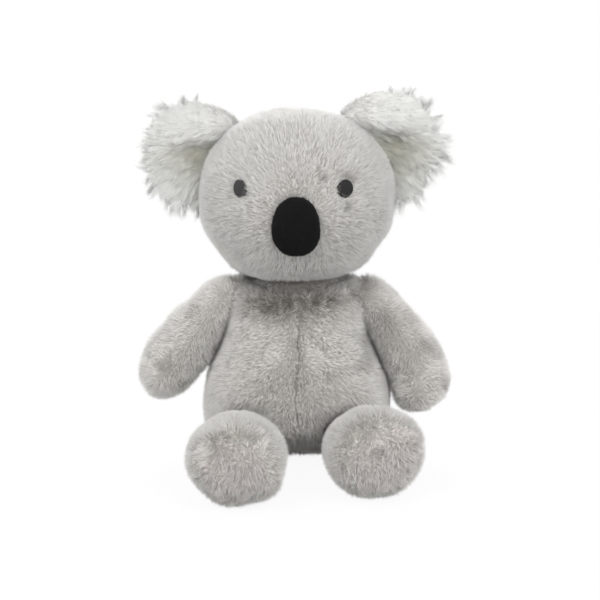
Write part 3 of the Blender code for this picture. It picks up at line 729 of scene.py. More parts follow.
@dataclass
class PlushPanel:
    """One panel of plush: its share of a soft form, its CAD nodes and how its pile lies."""

    name: str
    form: "SoftForm | EarFace"
    finish: Finish
    pile: Pile
    flow: Flow
    body: str
    slot: str
    nodes: tuple[str, ...]
    seed: int
    turns: tuple[float, float] = (0.0, TURN)
    shares: tuple[Array | float, Array | float] = (0.0, 1.0)
    length_at: Amount = evenly(1.0)
    keep_at: Amount = evenly(True)
    ruffle_at: Amount = evenly(1.0)
    painted_shade_at: Amount = evenly(0.0)
    facing_at: Flow | None = None
    stand_at: Flow | None = None
    shade: float = 0.22
    skin_rows: int = 64
    skin_columns: int = 44
    with_skin: bool = True

    def spots(self, down: Array, across: Array) -> tuple[Array, Array]:
        """Turn places on the panel, 0 to 1 each way, to places on its form.

        Args:
            down: Places along the panel's rows.
            across: Places along the panel's columns.

        Returns:
            The share and the turn of each place on the form.
        """
        turn = self.turns[0] + across * (self.turns[1] - self.turns[0])
        edges = [np.atleast_1d(edge) for edge in self.shares]
        low, high = (np.interp(across, np.linspace(0, 1, len(edge)), edge) for edge in edges)
        return low + down * (high - low), turn

    def build(self) -> None:
        """Make the panel's skin and pile as one object."""
        parts = MeshParts()
        rows, columns = np.linspace(0, 1, self.skin_rows), np.linspace(0, 1, self.skin_columns)
        spots = self.spots(*np.meshgrid(rows, columns, indexing="ij"))
        outer = self.form.place(*spots)
        if self.with_skin:
            normals, painted_shade = self.form.normals(*spots), self.painted_shade_at(outer)
            add_skin(parts, outer, normals, 1.5 * MM, self.shade, self.form.flip, painted_shade)
        self.plant(parts, outer)
        parts.build(self.name, self.finish, self.body, self.slot, self.nodes, 0.8)

    def plant(self, parts: MeshParts, outer: Array) -> None:
        """Stand the pile on the skin, evenly by area, parted along the seams.

        Args:
            parts: The mesh to add to.
            outer: The skin's grid of points.
        """
        rng = np.random.default_rng(self.seed)
        doubled = np.cross(outer[1:, 1:] - outer[:-1, :-1], outer[1:, :-1] - outer[:-1, 1:])
        area = np.linalg.norm(doubled, axis=-1).ravel() / 2
        count = int(area.sum() / MM**2 * self.pile.density)
        cell = rng.choice(len(area), count, p=area / area.sum())
        columns = outer.shape[1] - 1
        down = (cell // columns + rng.random(count)) / (outer.shape[0] - 1)
        across = (cell % columns + rng.random(count)) / columns
        spots = self.spots(down, across)
        roots, normals = self.form.place(*spots), self.form.normals(*spots)
        kept = self.keep_at(roots)
        roots, normals = roots[kept], normals[kept]
        ways = along_surface(self.flow(roots, normals), normals)
        for at, normal, depth in self.form.seams:
            away = seam_distance(roots, at, normal)
            parted = min(1.1, 0.6 + depth / (4 * MM)) if depth else 0
            lean = parted * bump(away, 0, 2.4 * MM) * np.sign(away)
            ways = along_surface(ways + lean[:, None] * normal, normals)
        lengths = self.pile.length * MM * (1 + 0.08 * rng.normal(size=len(roots))) * self.length_at(roots)
        ruffle, painted_shade = self.ruffle_at(roots), self.painted_shade_at(roots)
        facing = self.facing_at(roots, normals) if self.facing_at else None
        stand = self.stand_at(roots, normals) if self.stand_at else normals
        lengths = np.maximum(lengths, 0.4 * MM)
        add_strands(parts, roots, stand, ways, lengths, self.pile, self.seed + 100, ruffle, painted_shade, facing)


def add_stuffing(name: str, form: SoftForm, body: str, nodes: tuple[str, ...]) -> None:
    """Put the fibre filling inside a form's skin.

    Args:
        name: The object's name.
        form: The form it fills.
        body: The body it moves with.
        nodes: The CAD nodes it stands for.
    """
    spots = np.meshgrid(np.linspace(0.01, 0.99, 30), np.linspace(0, TURN, 41), indexing="ij")
    parts = MeshParts()
    add_skin(parts, form.place(*spots, -3.2 * MM), form.normals(*spots), 2.0 * MM, 1.0)
    parts.build(name, STUFFING, body, "stuffing", nodes)


def quarters(front: str, back: str) -> dict[str, tuple[float, float]]:
    """Name a round form's four panels, with their turns, from the toy's left over its front."""
    names = f"{front}_left", f"{front}_right", f"{back}_right", f"{back}_left"
    return {name: (k * math.pi / 2, (k + 1) * math.pi / 2) for k, name in enumerate(names)}


@dataclass
class KoalaBody:
    """The pear-shaped body: two tummy panels, two back panels and the seat base."""

    middle: Place = (0.0, 2 * MM, 50 * MM)
    groove: float = 1.8 * MM
    seat_half: tuple[float, float] = (36 * MM, 25 * MM)
    pile: Pile = Pile(length=4.8, stray=0.11, spread=0.15)
    seat_pile: Pile = Pile(length=1.2, lean=75, density=1.0)
    stroked: Hills = (((30, -46, 75), 14, 0.5), ((44, -40, 45), 12, 0.6))
    # Painted shade in the crease between the arm and the body.
    crease: Hills = (((49, -24, 78), 13, 0.6),)

    def shaped(self, points: Array, ways: Array) -> Array:
        """Fill the shoulders and the chest up to the chin, and round the tummy off below.

        Args:
            points: Places, in metres.
            ways: The way of each place's ray, out from the middle line.

        Returns:
            How far each place of the skin is moved out, in metres.
        """
        x, y, z = in_mm(points)
        shoulder = bump(np.hypot(x, 1.2 * y), 34, 17) * bump(z, 108, 15) * (1 - 0.25 * ramp(y, 0, -26))
        corner = bump(abs(x), 42, 13) * bump(z, 110, 15) * bump(y, 0, 28)
        return MM * (11.0 * shoulder + 8.0 * corner - 9.5 * ramp(z, 22, 0) * ramp(y, -12, -38))

    def ruffle(self, points: Array) -> Array:
        """The pile stands in tufts over the tummy and is combed smooth at the sides.

        Args:
            points: Places, in metres.

        Returns:
            The ruffle at each place, 1 in full tufts and 0 combed smooth.
        """
        x, y, _ = in_mm(points)
        patchy = 0.88 + 0.25 * drift(points, 9 * MM, 33) - 0.65 * ramp(abs(x + 4), 26, 48)
        return np.where(y < 0, np.clip(patchy - hills(points, self.stroked), 0.12, 1), 0.5)

    def painted_shade(self, points: Array) -> Array:
        """How much painted shade the pile gets: along the middle seam, in the chin's shadow on the chest, and
        in the crease by the arm.

        Args:
            points: Places, in metres.

        Returns:
            The depth at each place, 0 to 1.
        """
        x, y, z = in_mm(points)
        # Painted shade along the middle seam, over the real parting of its pile.
        seam = bump(seam_distance(points, np.zeros(3), LEVEL), 0, 1.2 * MM)
        seam = seam * (0.12 + 0.3 * ramp(z, 20, 100)) * ramp(z, 110, 98)
        # Painted shadow of the head across the chest, under the chin.
        collar = ramp(z, 94, 111) * bump(x, 0, 38, 4)
        # A darker spot of painted shadow under the chin, on the toy's right.
        shadow_spots = bump(x, -20, 13) * bump(z, 112, 9)
        broken = 1 + 0.2 * drift(points, 5 * MM, 34)
        painted_shadows = broken * (0.85 * collar + 0.5 * shadow_spots + hills(points, self.crease))
        return np.clip(1.2 * seam + painted_shadows, 0, 1) * (y < 0)

    def flow(self, points: Array, normals: Array) -> Array:
        """The pile runs down and out from the middle seam."""
        side = np.clip(points[:, :1] / (12 * MM), -1, 1)
        return DOWN + 0.7 * side * LEVEL + 0.5 * drift_vector(points, 20 * MM, 31)

    def clear_of_joints(self, points: Array) -> Array:
        """Which points aren't inside the hollows for the neck, the hips and the shoulders.

        Args:
            points: Places, in metres.

        Returns:
            For each place, whether it is clear.
        """
        kept = beyond(points, NECK, NECK_RADIUS + 2 * MM)
        for side in Side:
            kept &= beyond(points, side.mirror(HIP), HIP_RADIUS + 2.2 * MM)
            kept &= beyond(points, side.mirror(SHOULDER), SHOULDER_RADIUS - 0.5 * MM)
        return kept

    def seat_edge(self, turns: tuple[float, float], count: int) -> Array:
        """The shares where the body's panels meet the oval seat base, at even steps of turn.

        Args:
            turns: The first and the last angle round the form.
            count: How many there are.

        Returns:
            One share for each step.
        """
        angles = np.linspace(*turns, count)
        a, b = self.seat_half
        seat = 1 / np.sqrt((np.cos(angles) / a) ** 2 + (np.sin(angles) / b) ** 2)
        return 1 - np.arctan2(seat, self.middle[2]) / math.pi

    def build(self, nodes: dict[str, Object]) -> None:
        """Make the body's panels from the CAD nodes by name.

        Args:
            nodes: The CAD nodes by name.
        """
        panels = quarters("tummy", "back")
        middle = np.array(self.middle)
        form = SoftForm(
            [nodes[name] for name in (*panels, "seat_base")], middle, middle, shaping=self.shaped,
            seams=[(np.zeros(3), LEVEL, self.groove), (middle, FRONT, 0.7 * self.groove)],
        )
        add_stuffing("torso_stuffing", form, "torso", ("torso_filling", "bean_bag"))
        for number, (name, turns) in enumerate(panels.items()):
            PlushPanel(
                name + "_plush", form, GREY_PLUSH, self.pile.for_panel(name), self.flow, "torso",
                "plush_grey", (name,), 10 + number, turns, (0.0, self.seat_edge(turns, 30)),
                keep_at=self.clear_of_joints, ruffle_at=self.ruffle, painted_shade_at=self.painted_shade,
            ).build()
        PlushPanel(
            "seat_base_plush", form, GREY_PLUSH, self.seat_pile, self.flow, "torso", "plush_grey",
            ("seat_base",), 15, shares=(self.seat_edge((0.0, TURN), 120), 1.0), skin_rows=14, skin_columns=60,
        ).build()


@dataclass
class KoalaHead:
    """The round head: two face panels and two rear panels."""

    middle: Place = (0.0, 6 * MM, 172 * MM)
    nose: Place = (0.0, -60 * MM, 166 * MM)
    nose_half: tuple[float, float] = (15.2 * MM, 19.3 * MM)
    eyes: tuple[tuple[float, float], ...] = ((31 * MM, 188.8 * MM), (-36.7 * MM, 188.5 * MM))
    eye_half: tuple[float, float] = (4.6 * MM, 5.3 * MM)
    groove: float = 0.7 * MM
    pile: Pile = Pile(length=4.3, lean=30)
    # Locks of fur lie over the nose's edge, low on the toy's left.
    locks: Hills = (((17, -56, 163), 4.5, 1.0), ((13, -58, 152), 3.5, 0.6))
    # Small marks of painted shade where the pile parts: across and up in mm, radius in mm, and how dark they
    # are painted.
    marks: tuple[tuple[float, float, float, float], ...] = (
        (31.5, 177.2, 2.4, 0.8), (31, 196.0, 3.4, 0.7), (35.5, 194.0, 2.4, 0.5), (17, 195.5, 2.0, 0.7),
        (-31.5, 185.5, 2.2, 0.6), (14, 199.5, 1.6, 0.5),
    )

    def shaped(self, points: Array, ways: Array) -> Array:
        """Draw the lower cheeks in, the toy's left one more, as in the photo."""
        x, _, z = in_mm(points)
        return MM * np.where(x > 0, -4.0, -3.4) * bump(abs(x), 54, 20) * bump(z, 145, 17)

    def flow(self, points: Array, normals: Array) -> Array:
        """The pile runs out from the nose over the face, and down the back of the head.

        Args:
            points: Places, in metres.
            normals: The skin's normals there.

        Returns:
            The way the pile runs at each place.
        """
        y = points[:, 1:2] / MM
        lock = hills(points, self.locks)[:, None]
        out = unit(points - np.array(self.nose)) * (1 - 2.6 * lock) - 0.8 * lock * DOWN
        behind, ahead = ramp(y, 5, 50), ramp(y, 5, -25)
        stray = 0.2 * drift_vector(points, 20 * MM, 41) + 0.25 * ahead * drift_vector(points, 7 * MM, 42)
        return along_surface((1 - behind) * out + behind * DOWN, normals) + stray

    def ruffle(self, points: Array) -> Array:
        """The pile is ruffled round the muzzle and up the forehead, and smooth elsewhere.

        Args:
            points: Places, in metres.

        Returns:
            The ruffle at each place, 1 in full tufts and 0 combed smooth.
        """
        x, y, z = in_mm(points)
        muzzle = bump(x, 0, 41, 4) * bump(z, 158, 30, 4)
        brow = bump(x, 4, 30, 4) * bump(z, 196, 21, 4)
        patchy = 0.85 + 0.3 * drift(points, 9 * MM, 43)
        front = np.clip(0.06 + 0.94 * patchy * np.maximum(muzzle, 0.85 * brow), 0.05, 1)
        return front + (0.3 - front) * ramp(y, 2, 16)

    def clear(self, points: Array) -> Array:
        """Which points aren't under the nose, on an eye or in the neck's hollow.

        Args:
            points: Places, in metres.

        Returns:
            For each place, whether it is clear.
        """
        x, y, z = points.T
        ragged = 0.9 * MM * drift(points, 3 * MM, 44)
        ovals = [((0.0, self.nose[2] - 0.5 * MM), self.nose_half, ragged - 1.2 * MM, 1.0)]
        ovals += [(eye, self.eye_half, 0.35 * ragged, 0.97) for eye in self.eyes]
        kept = beyond(points, NECK, NECK_RADIUS + 2 * MM)
        for (at_x, at_z), (a, b), more, edge in ovals:
            kept &= (y >= 0) | (((x - at_x) / (a + more)) ** 2 + ((z - at_z) / (b + more)) ** 2 >= edge)
        return kept

    def length(self, points: Array) -> Array:
        """The pile is trimmed a little round the eyes.

        Args:
            points: Places, in metres.

        Returns:
            For each place, a share of the pile's length.
        """
        x, y, z = points.T
        close = [bump(np.hypot(x - eye_x, z - eye_z), 0, 9 * MM) for eye_x, eye_z in self.eyes]
        return 1 - 0.3 * np.max(close, axis=0) * (y < 0)

    def painted_shade(self, points: Array) -> Array:
        """How much painted shade the pile gets: small marks round the eyes and beside the nose.

        Args:
            points: Places, in metres.

        Returns:
            The depth at each place, 0 to 1.
        """
        x, y, z = in_mm(points)
        parted = sum(
            amount * bump(np.hypot(x - at_x, z - at_z), 0, wide) for at_x, at_z, wide, amount in self.marks
        )
        return np.clip(parted, 0, 1) * (y < 0)

    def build(self, nodes: dict[str, Object]) -> SoftForm:
        """Make the head's panels.

        Args:
            nodes: The CAD nodes by name.

        Returns:
            The head's form, which the eyes and the nose lie on.
        """
        panels = quarters("face", "head_back")
        middle = np.array(self.middle)
        form = SoftForm(
            [nodes[name] for name in panels], middle, middle, shaping=self.shaped,
            seams=[(middle, FRONT, self.groove), (np.zeros(3), LEVEL, 0.0)],
        )
        add_stuffing("head_stuffing", form, "head", ("head_filling", "nose_pad"))
        for number, (name, turns) in enumerate(panels.items()):
            PlushPanel(
                name + "_plush", form, PALE_PLUSH, self.pile.for_panel(name), self.flow, "head",
                "plush_light", (name,), 20 + number, turns, length_at=self.length, keep_at=self.clear,
                ruffle_at=self.ruffle, painted_shade_at=self.painted_shade,
            ).build()
        return form


@dataclass
class KoalaNose:
    """The big oval nose: a velvet cover over a pad, sunk in the face."""

    middle: Place = (0.0, -56 * MM, 166 * MM)
    pile: Pile = Pile(length=0.8, width=0.22, lean=35, density=3.0, tuft=0.1, root_height=0.5)

    def flow(self, points: Array, normals: Array) -> Array:
        """The velvet lies downwards."""
        return DOWN + 0.3 * drift_vector(points, 10 * MM, 51)

    def shaped(self, points: Array, ways: Array) -> Array:
        """Make the oval uneven, as in the photo: fuller on the toy's right and low on its left."""
        x, _, z = np.moveaxis(ways, -1, 0)
        return MM * (1.5 * np.clip(-x, 0, 1) + 0.7 * np.clip(x, 0, 1) * np.clip(-z, 0, 1))

    def build(self, nodes: dict[str, Object]) -> None:
        """Make the nose from the CAD nodes by name.

        Args:
            nodes: The CAD nodes by name.
        """
        middle = np.array(self.middle)
        form = SoftForm(
            [nodes["nose_cover"]], middle, middle, inset=0.3 * MM, soften=3.0, shaping=self.shaped,
            lumps=0.15 * MM,
        )
        PlushPanel(
            "nose_velvet", form, NOSE_VELVET, self.pile, self.flow, "head", "nose_velvet",
            ("nose_cover",), 51, skin_columns=90,
        ).build()


@dataclass
class KoalaEye:
    """An eye: an oval of upright satin stitches on the face."""

    side: Side
    middle: tuple[float, float]
    finish: ClothFinish
    half_width: float
    half_height: float = 5.9 * MM
    proud: float = 3.2 * MM
    thick: float = 3.6 * MM
    thread: float = 0.55 * MM

    def build(self, head: SoftForm) -> None:
        """Make the eye on the head's form. The threads are drawn a third coarser than real ones.

        Args:
            head: The head's form.
        """
        threads = round(2 * self.half_width / self.thread)
        stitches = np.linspace(-0.985, 0.985, threads * 6 + 1)
        v, u = np.meshgrid(np.linspace(1, -1, 21), stitches, indexing="ij")
        x = self.middle[0] - self.half_width * u
        z = self.middle[1] + self.half_height * v * np.sqrt(1 - u**2)
        dome = np.sqrt(np.clip(1 - u**2 - v**2 * (1 - u**2), 0, 1))
        ridge = np.abs(np.cos(math.pi * (u + 1) / 2 * threads)) * 0.16 * MM
        y = head.front_at(x, z) - (self.proud * (0.55 + 0.45 * dome) + ridge * np.sqrt(dome))
        points = np.stack([x, y, z], -1)
        normals = unit(np.cross(np.gradient(points, axis=1), np.gradient(points, axis=0)))
        parts = MeshParts()
        add_skin(parts, points, normals, self.thick, 1.0)
        name = f"eye_{self.side.word}"
        parts.build(name + "_stitches", self.finish, "head", "eye_thread", (name,))


@dataclass
class EarFace:
    """The front or the back of an ear, with the same use as a soft form.

    Rows run from the ear's heart to its edge. Columns turn round it, from outwards up over the top.
    """

    ear: "KoalaEar"
    front: bool
    seams: tuple[tuple[Array, Array, float], ...] = ()

    @property
    def flip(self) -> bool:
        """Whether the grid's faces have to be turned over to face out."""
        return (self.ear.side is Side.LEFT) == self.front

    def place(self, share: Array, turn: Array, lift: float = 0.0) -> Array:
        """Points on this face, from the heart at share 0 to the edge at 1.

        Args:
            share: Places from the first row to the last, 0 to 1.
            turn: Angles round the form.
            lift: A distance out from the skin.

        Returns:
            The points.
        """
        ear = self.ear
        share = np.clip(share, 0, 1)
        waves = np.fft.rfft(ear.radii) / len(ear.radii)
        rounds = [2 * (wave * np.exp(1j * k * turn)).real for k, wave in enumerate(waves[1:7], 1)]
        radius = share * (waves[0].real + sum(rounds))
        out, up = radius * np.cos(turn), radius * np.sin(turn)
        roll, hollow, rounded = ear.roll(out, up), ear.hollow(out, up), np.sqrt(np.clip(1 - share**3, 0, 1))
        if self.front:
            thick = 6.0 - 5.7 * ramp(out, -6, 18)
            ahead = rounded * (2.0 + thick * roll - ear.pocket * (1 - roll) * hollow) + lift / MM
        else:
            ahead = -(9.0 + 5.0 * hollow) * rounded - lift / MM
        ahead = ahead + 1.6 * share**2 * (1 - roll)
        return ear.middle + MM * np.stack([out * ear.side.value, -ahead, up], -1)

    def normals(self, share: Array, turn: Array) -> Array:
        """This face's normals, out of the cloth.

        Args:
            share: Places from the first row to the last, 0 to 1.
            turn: Angles round the form.

        Returns:
            The normals, at length 1.
        """
        low, high = np.clip(share - 0.012, 0, 0.97), np.clip(share + 0.012, 0.03, 1)
        level = np.clip(share, 0.03, 1)
        lengthways = self.place(high, turn) - self.place(low, turn)
        sideways = self.place(level, turn + 0.03) - self.place(level, turn - 0.03)
        return unit(np.cross(sideways, lengthways)) * (-1 if self.flip else 1)


@dataclass
class KoalaEar:
    """An ear: a plush back, a fur front with a roll over a hollow, and a ragged fringe.

    The radii run round the ear's skin in mm at equal steps, from outwards up over the top.
    """

    side: Side
    middle: Array
    radii: tuple[float, ...]
    roll_level: float
    roll_fall: float
    rim: float
    fringe_turns: tuple[float, float]
    pocket: float
    pocket_at: tuple[float, float, float, float]
    fringe_count: int = 6500
    fringe_area: float = 700.0
    back_pile: Pile = Pile(length=3.8, lean=50, density=2.6, width=0.4, root_height=0.55, guard=0.0, tuft=0.2)
    rim_pile: Pile = Pile(
        length=4.2, lean=66, density=5.0, width=0.42, tuft=0.0, spread=0.02, stray=0.04, root_height=0.6,
        relief=0.3, guard=0.0,
    )
    front_pile: Pile = Pile(
        length=9.0, width=0.42, lean=74, density=3.2, stray=0.035, tuft=0.0, spread=0.04, tuft_size=3,
        segments=2, curl=0.2, root_height=0.6, guard=0.0, relief=0.25,
    )
    fringe_pile: Pile = Pile(
        length=11.5, width=0.28, lean=24, stray=0.08, tuft=0.6, spread=0.24, tuft_size=2.6, segments=2,
        curl=0.35, root_height=1.0, guard=0.0, relief=0.7,
    )

    def flat(self, points: Array) -> tuple[Array, Array]:
        """How far points are outwards and above the heart, in mm."""
        x, _, z = in_mm(points - self.middle)
        return x * self.side.value, z

    def roll(self, out: Array, up: Array) -> Array:
        """The share of the fur roll at places out and up from the heart, 0 below it and 1 on it.

        Args:
            out: How far the places are outwards from the heart, in mm.
            up: How far the places are above the heart, in mm.

        Returns:
            The share at each place.
        """
        soft = 14 + 6 * ramp(out, -6, 26)
        share = np.clip((up - self.roll_level + self.roll_fall * np.clip(out, 0, 40)) / soft + 0.5, 0, 1)
        return share * share * (3 - 2 * share)

    def hollow(self, out: Array, up: Array) -> Array:
        """How far back the pocket sinks there, 0 to 1."""
        at_out, at_up, wide, high = self.pocket_at
        return bump(out, at_out, wide) * bump(up, self.roll_level + at_up, high)

    def brink(self, points: Array, above: float, width: float) -> Array:
        """How near points are to the roll's lower edge, on its half next to the head."""
        out, up = self.flat(points)
        return bump(up, self.roll_level + above, width) * ramp(out, 18, 4)

    def back_flow(self, points: Array, normals: Array) -> Array:
        """The plush of the back lies outwards."""
        return self.side.value * LEVEL + 0.3 * drift_vector(points, 20 * MM, 61)

    def front_flow(self, points: Array, normals: Array) -> Array:
        """The fur of the roll is combed outwards, and the fur below it spreads from the hollow.

        Args:
            points: Places, in metres.
            normals: The skin's normals there.

        Returns:
            The way the fur runs at each place.
        """
        roll = self.roll(*self.flat(points))[:, None]
        start = self.middle + MM * np.array((-26 * self.side.value, 0, self.roll_level + 2))
        spread = unit((points - start) * (1, 0, 1))
        combed = self.side.value * LEVEL + (0.7 * self.brink(points, 3, 5)[:, None] - 0.15) * DOWN
        return roll * combed + (1 - roll) * spread + 0.2 * FRONT + 0.16 * drift_vector(points, 16 * MM, 63)

    def facing(self, points: Array, normals: Array) -> Array:
        """Turn the shading up and out at the ear's edge, so that the two faces meet softly.

        Args:
            points: Places, in metres.
            normals: The skin's normals there.

        Returns:
            The direction to shade each place by.
        """
        edge = 0.45 * bump(points[:, 1:2], self.middle[1], 3.5 * MM)
        out = unit((points - self.middle) * (1, 0, 1))
        return unit((1 - edge) * normals + edge * (out - 0.5 * DOWN))

    def lit(self, points: Array, normals: Array) -> Array:
        """Turn the shading of the roll's lower edge forward, as light passes through its loose fur."""
        brink = bump(self.flat(points)[1], self.roll_level - 2, 7)[:, None]
        return unit(normals + (0.3 + 0.5 * brink) * (FRONT - 0.6 * DOWN))

    def front_length(self, points: Array) -> Array:
        """The fur is shorter on the roll than below it."""
        return 1 - 0.45 * self.roll(*self.flat(points)) + 0.35 * self.brink(points, 2, 4)

    def painted_shade(self, points: Array) -> Array:
        """How much painted shade the fur gets in the hollow, 0 to 1."""
        out, up = self.flat(points)
        return np.clip(1.15 * (1 - self.roll(out, up + 3)) * self.hollow(out, up), 0, 1)

    def on_rim(self, points: Array) -> Array:
        """Which points are on the plush rim, next to the head on top.

        Args:
            points: Places, in metres.

        Returns:
            For each place, whether it is on the rim.
        """
        out, up = self.flat(points)
        ragged = 2.5 * drift(points, 3 * MM, 66)
        return (out + ragged < self.rim + 0.25 * (up - self.roll_level)) & (up > self.roll_level - 2)

    def fringe(self, body: str, seed: int) -> None:
        """Stand a ragged fringe round the ear's edge.

        Args:
            body: The body the ear moves with.
            seed: Picks the pattern.
        """
        rng = np.random.default_rng(seed)
        count = self.fringe_count
        turn = np.radians(rng.uniform(*self.fringe_turns, count))
        roots = EarFace(self, True).place(0.93 + 0.07 * rng.random(count), turn, -1.0 * MM)
        spread = unit((roots - self.middle) * (1, 0, 1))
        stand = unit(spread + 0.12 * FRONT)
        ways = along_surface(0.5 * DOWN + drift_vector(roots, 8 * MM, 64), stand)
        ragged = 0.5 + 0.8 * np.clip(0.4 + drift(roots, 4 * MM, 65), 0, 1.3) + 0.12 * rng.normal(size=count)
        top = np.clip(spread[:, 2] - 0.5, 0, 0.5) + np.clip(-spread[:, 0] * self.side.value, 0, 1)
        lengths = self.fringe_pile.length * MM * np.clip(ragged, 0.3, 1.6) * (1 - 0.8 * np.clip(top, 0, 0.7))
        pile = replace(self.fringe_pile, density=count / self.fringe_area)
        facing = 1.2 * unit(0.35 * stand - 0.6 * DOWN + 0.08 * FRONT)
        parts = MeshParts()
        add_strands(parts, roots, stand, ways, lengths, pile, seed, facing_to=facing)
        parts.build(body + "_fringe_fur", FRINGE_FUR, body, "ear_fur", (body + "_lining",), 0.3)

    def build(self, head: SoftForm) -> None:
        """Make the ear against the head's form.

        Args:
            head: The head's form.
        """

        def free(points: Array) -> Array:
            """Which points aren't inside the head."""
            return head.outside(points, -3 * MM)

        def rim(points: Array) -> Array:
            """Which points have the plush of the rim."""
            return free(points) & self.on_rim(points)

        def fur(points: Array) -> Array:
            """Which points have the long fur."""
            return free(points) & ~self.on_rim(points)

        body = f"ear_{self.side.word}"
        back, lining = (body + "_back",), (body + "_lining",)
        front = EarFace(self, True)
        seed = 75 - 5 * self.side.value
        PlushPanel(
            body + "_back_plush", EarFace(self, False), PALE_PLUSH, self.back_pile, self.back_flow, body,
            "plush_light", back, seed, keep_at=free, facing_at=self.facing, shade=0.75, skin_rows=24,
            skin_columns=72,
        ).build()
        PlushPanel(
            body + "_rim_plush", front, PALE_PLUSH, self.rim_pile, self.back_flow, body, "plush_light", back,
            seed + 1, keep_at=rim, facing_at=self.facing,
            skin_rows=40, skin_columns=90, with_skin=False,
        ).build()
        PlushPanel(
            body + "_front_fur", front, EAR_FUR, self.front_pile, self.front_flow, body, "ear_fur", lining,
            seed + 2, keep_at=fur, length_at=self.front_length,
            ruffle_at=evenly(0.4), painted_shade_at=self.painted_shade, facing_at=self.lit, shade=0.7, skin_rows=56,
            skin_columns=108,
        ).build()
        self.fringe(body, seed + 4)


@dataclass
class KoalaArm:
    """An arm: a front and a rear panel round its own middle line."""

    side: Side
    lean: float
    bulges: Hills
    whorl: Place
    # Spots of painted shade where the arm lies against the body.
    shadow_spots: Hills = ()
    brushed: float = 0.1
    reach: float = 84 * MM
    start: float = -5 * MM
    end: float = 67 * MM
    soft: float = 1.5 * MM
    pile: Pile = Pile()

    def __post_init__(self) -> None:
        """Work out the arm's directions and the ends of its middle line."""
        angle = math.radians(self.lean)
        self.along = np.array((self.side.value * math.sin(angle), 0, -math.cos(angle)))
        self.across = np.array((math.cos(angle), 0, self.side.value * math.sin(angle)))
        self.pivot = self.side.mirror(SHOULDER)
        self.first, self.last = (self.pivot + at * self.along for at in (self.start, self.end))

    def shaped(self, points: Array, ways: Array) -> Array:
        """Round the root out to a ball about the shoulder, which turns in place as the arm swings.

        Args:
            points: Places, in metres.
            ways: The way of each place's ray, out from the middle line.

        Returns:
            How far each place of the skin is moved out, in metres.
        """
        along = np.clip((points - self.first) @ self.along, 0, self.end - self.start)[..., None]
        reach = np.linalg.norm(points - self.first - along * self.along, axis=-1)
        away = points - reach[..., None] * ways - self.pivot
        across, inside = (away * ways).sum(-1), SHOULDER_RADIUS**2 - (away * away).sum(-1)
        ball = np.where(inside > 0, np.sqrt(np.clip(across**2 + inside, 0, None)) - across, 0)
        rounded = np.logaddexp(reach / self.soft, ball / self.soft) * self.soft - reach
        return rounded + MM * hills(points, self.bulges)

    def paw(self, points: Array, start: float, end: float) -> Array:
        """How far onto the paw points are, between two shares of the arm's reach."""
        return ramp((points - self.pivot) @ self.along / self.reach, start, end)

    def ruffle(self, points: Array) -> Array:
        """The pile is ruffled on the inner side and at the paw, and smooth on the outer side.

        Args:
            points: Places, in metres.

        Returns:
            The ruffle at each place, 1 in full tufts and 0 combed smooth.
        """
        inner = (points - self.pivot) @ self.across * -self.side.value / (14 * MM)
        paw = self.paw(points, 0.7, 0.9)
        rough = np.maximum(0.1 + 0.85 * inner - 0.5 * paw, 0.15 * paw)
        return np.clip(rough + 0.35 * near(points, self.whorl, 5), 0.04, 1)

    def painted_shade(self, points: Array) -> Array:
        """Painted shade where the arm lies against the body."""
        return evenly(0.0)(points) + hills(points, self.shadow_spots)

    def stand(self, points: Array, normals: Array) -> Array:
        """The pile stands out from the skin, brushed up and forward on the paw."""
        paw = self.paw(points, 0.62, 0.92)[:, None]
        return unit(normals + self.brushed * paw * (0.6 * FRONT - 0.8 * DOWN))

    def flow(self, points: Array, normals: Array) -> Array:
        """The pile runs down the arm, and out from a whorl on the paw.

        Args:
            points: Places, in metres.
            normals: The skin's normals there.

        Returns:
            The way the pile runs at each place.
        """
        whorl = near(points, self.whorl, 17)[:, None]
        out = unit(points - MM * np.array(self.whorl))
        return (1 - whorl) * self.along + 1.2 * whorl * out + 0.4 * drift_vector(points, 18 * MM, 90)

    def build(self, nodes: dict[str, Object]) -> None:
        """Make the arm from the CAD nodes by name.

        Args:
            nodes: The CAD nodes by name.
        """
        body = f"arm_{self.side.word}"
        form = SoftForm(
            [nodes[f"{body}_front"], nodes[f"{body}_rear"]], self.first, self.last, self.along, self.across,
            cap_rows=0.22, inset=2.4 * MM, seams=[(self.pivot, FRONT, 0.6 * MM)], shaping=self.shaped,
        )
        add_stuffing(body + "_stuffing", form, body, (body + "_filling",))
        for number, part in enumerate(("front", "rear")):
            PlushPanel(
                f"{body}_{part}_plush", form, GREY_PLUSH, self.pile, self.flow, body, "plush_grey",
                (f"{body}_{part}",), 90 + 5 * self.side.value + number,
                (number * math.pi, (number + 1) * math.pi), ruffle_at=self.ruffle, painted_shade_at=self.painted_shade,
                stand_at=self.stand,
            ).build()


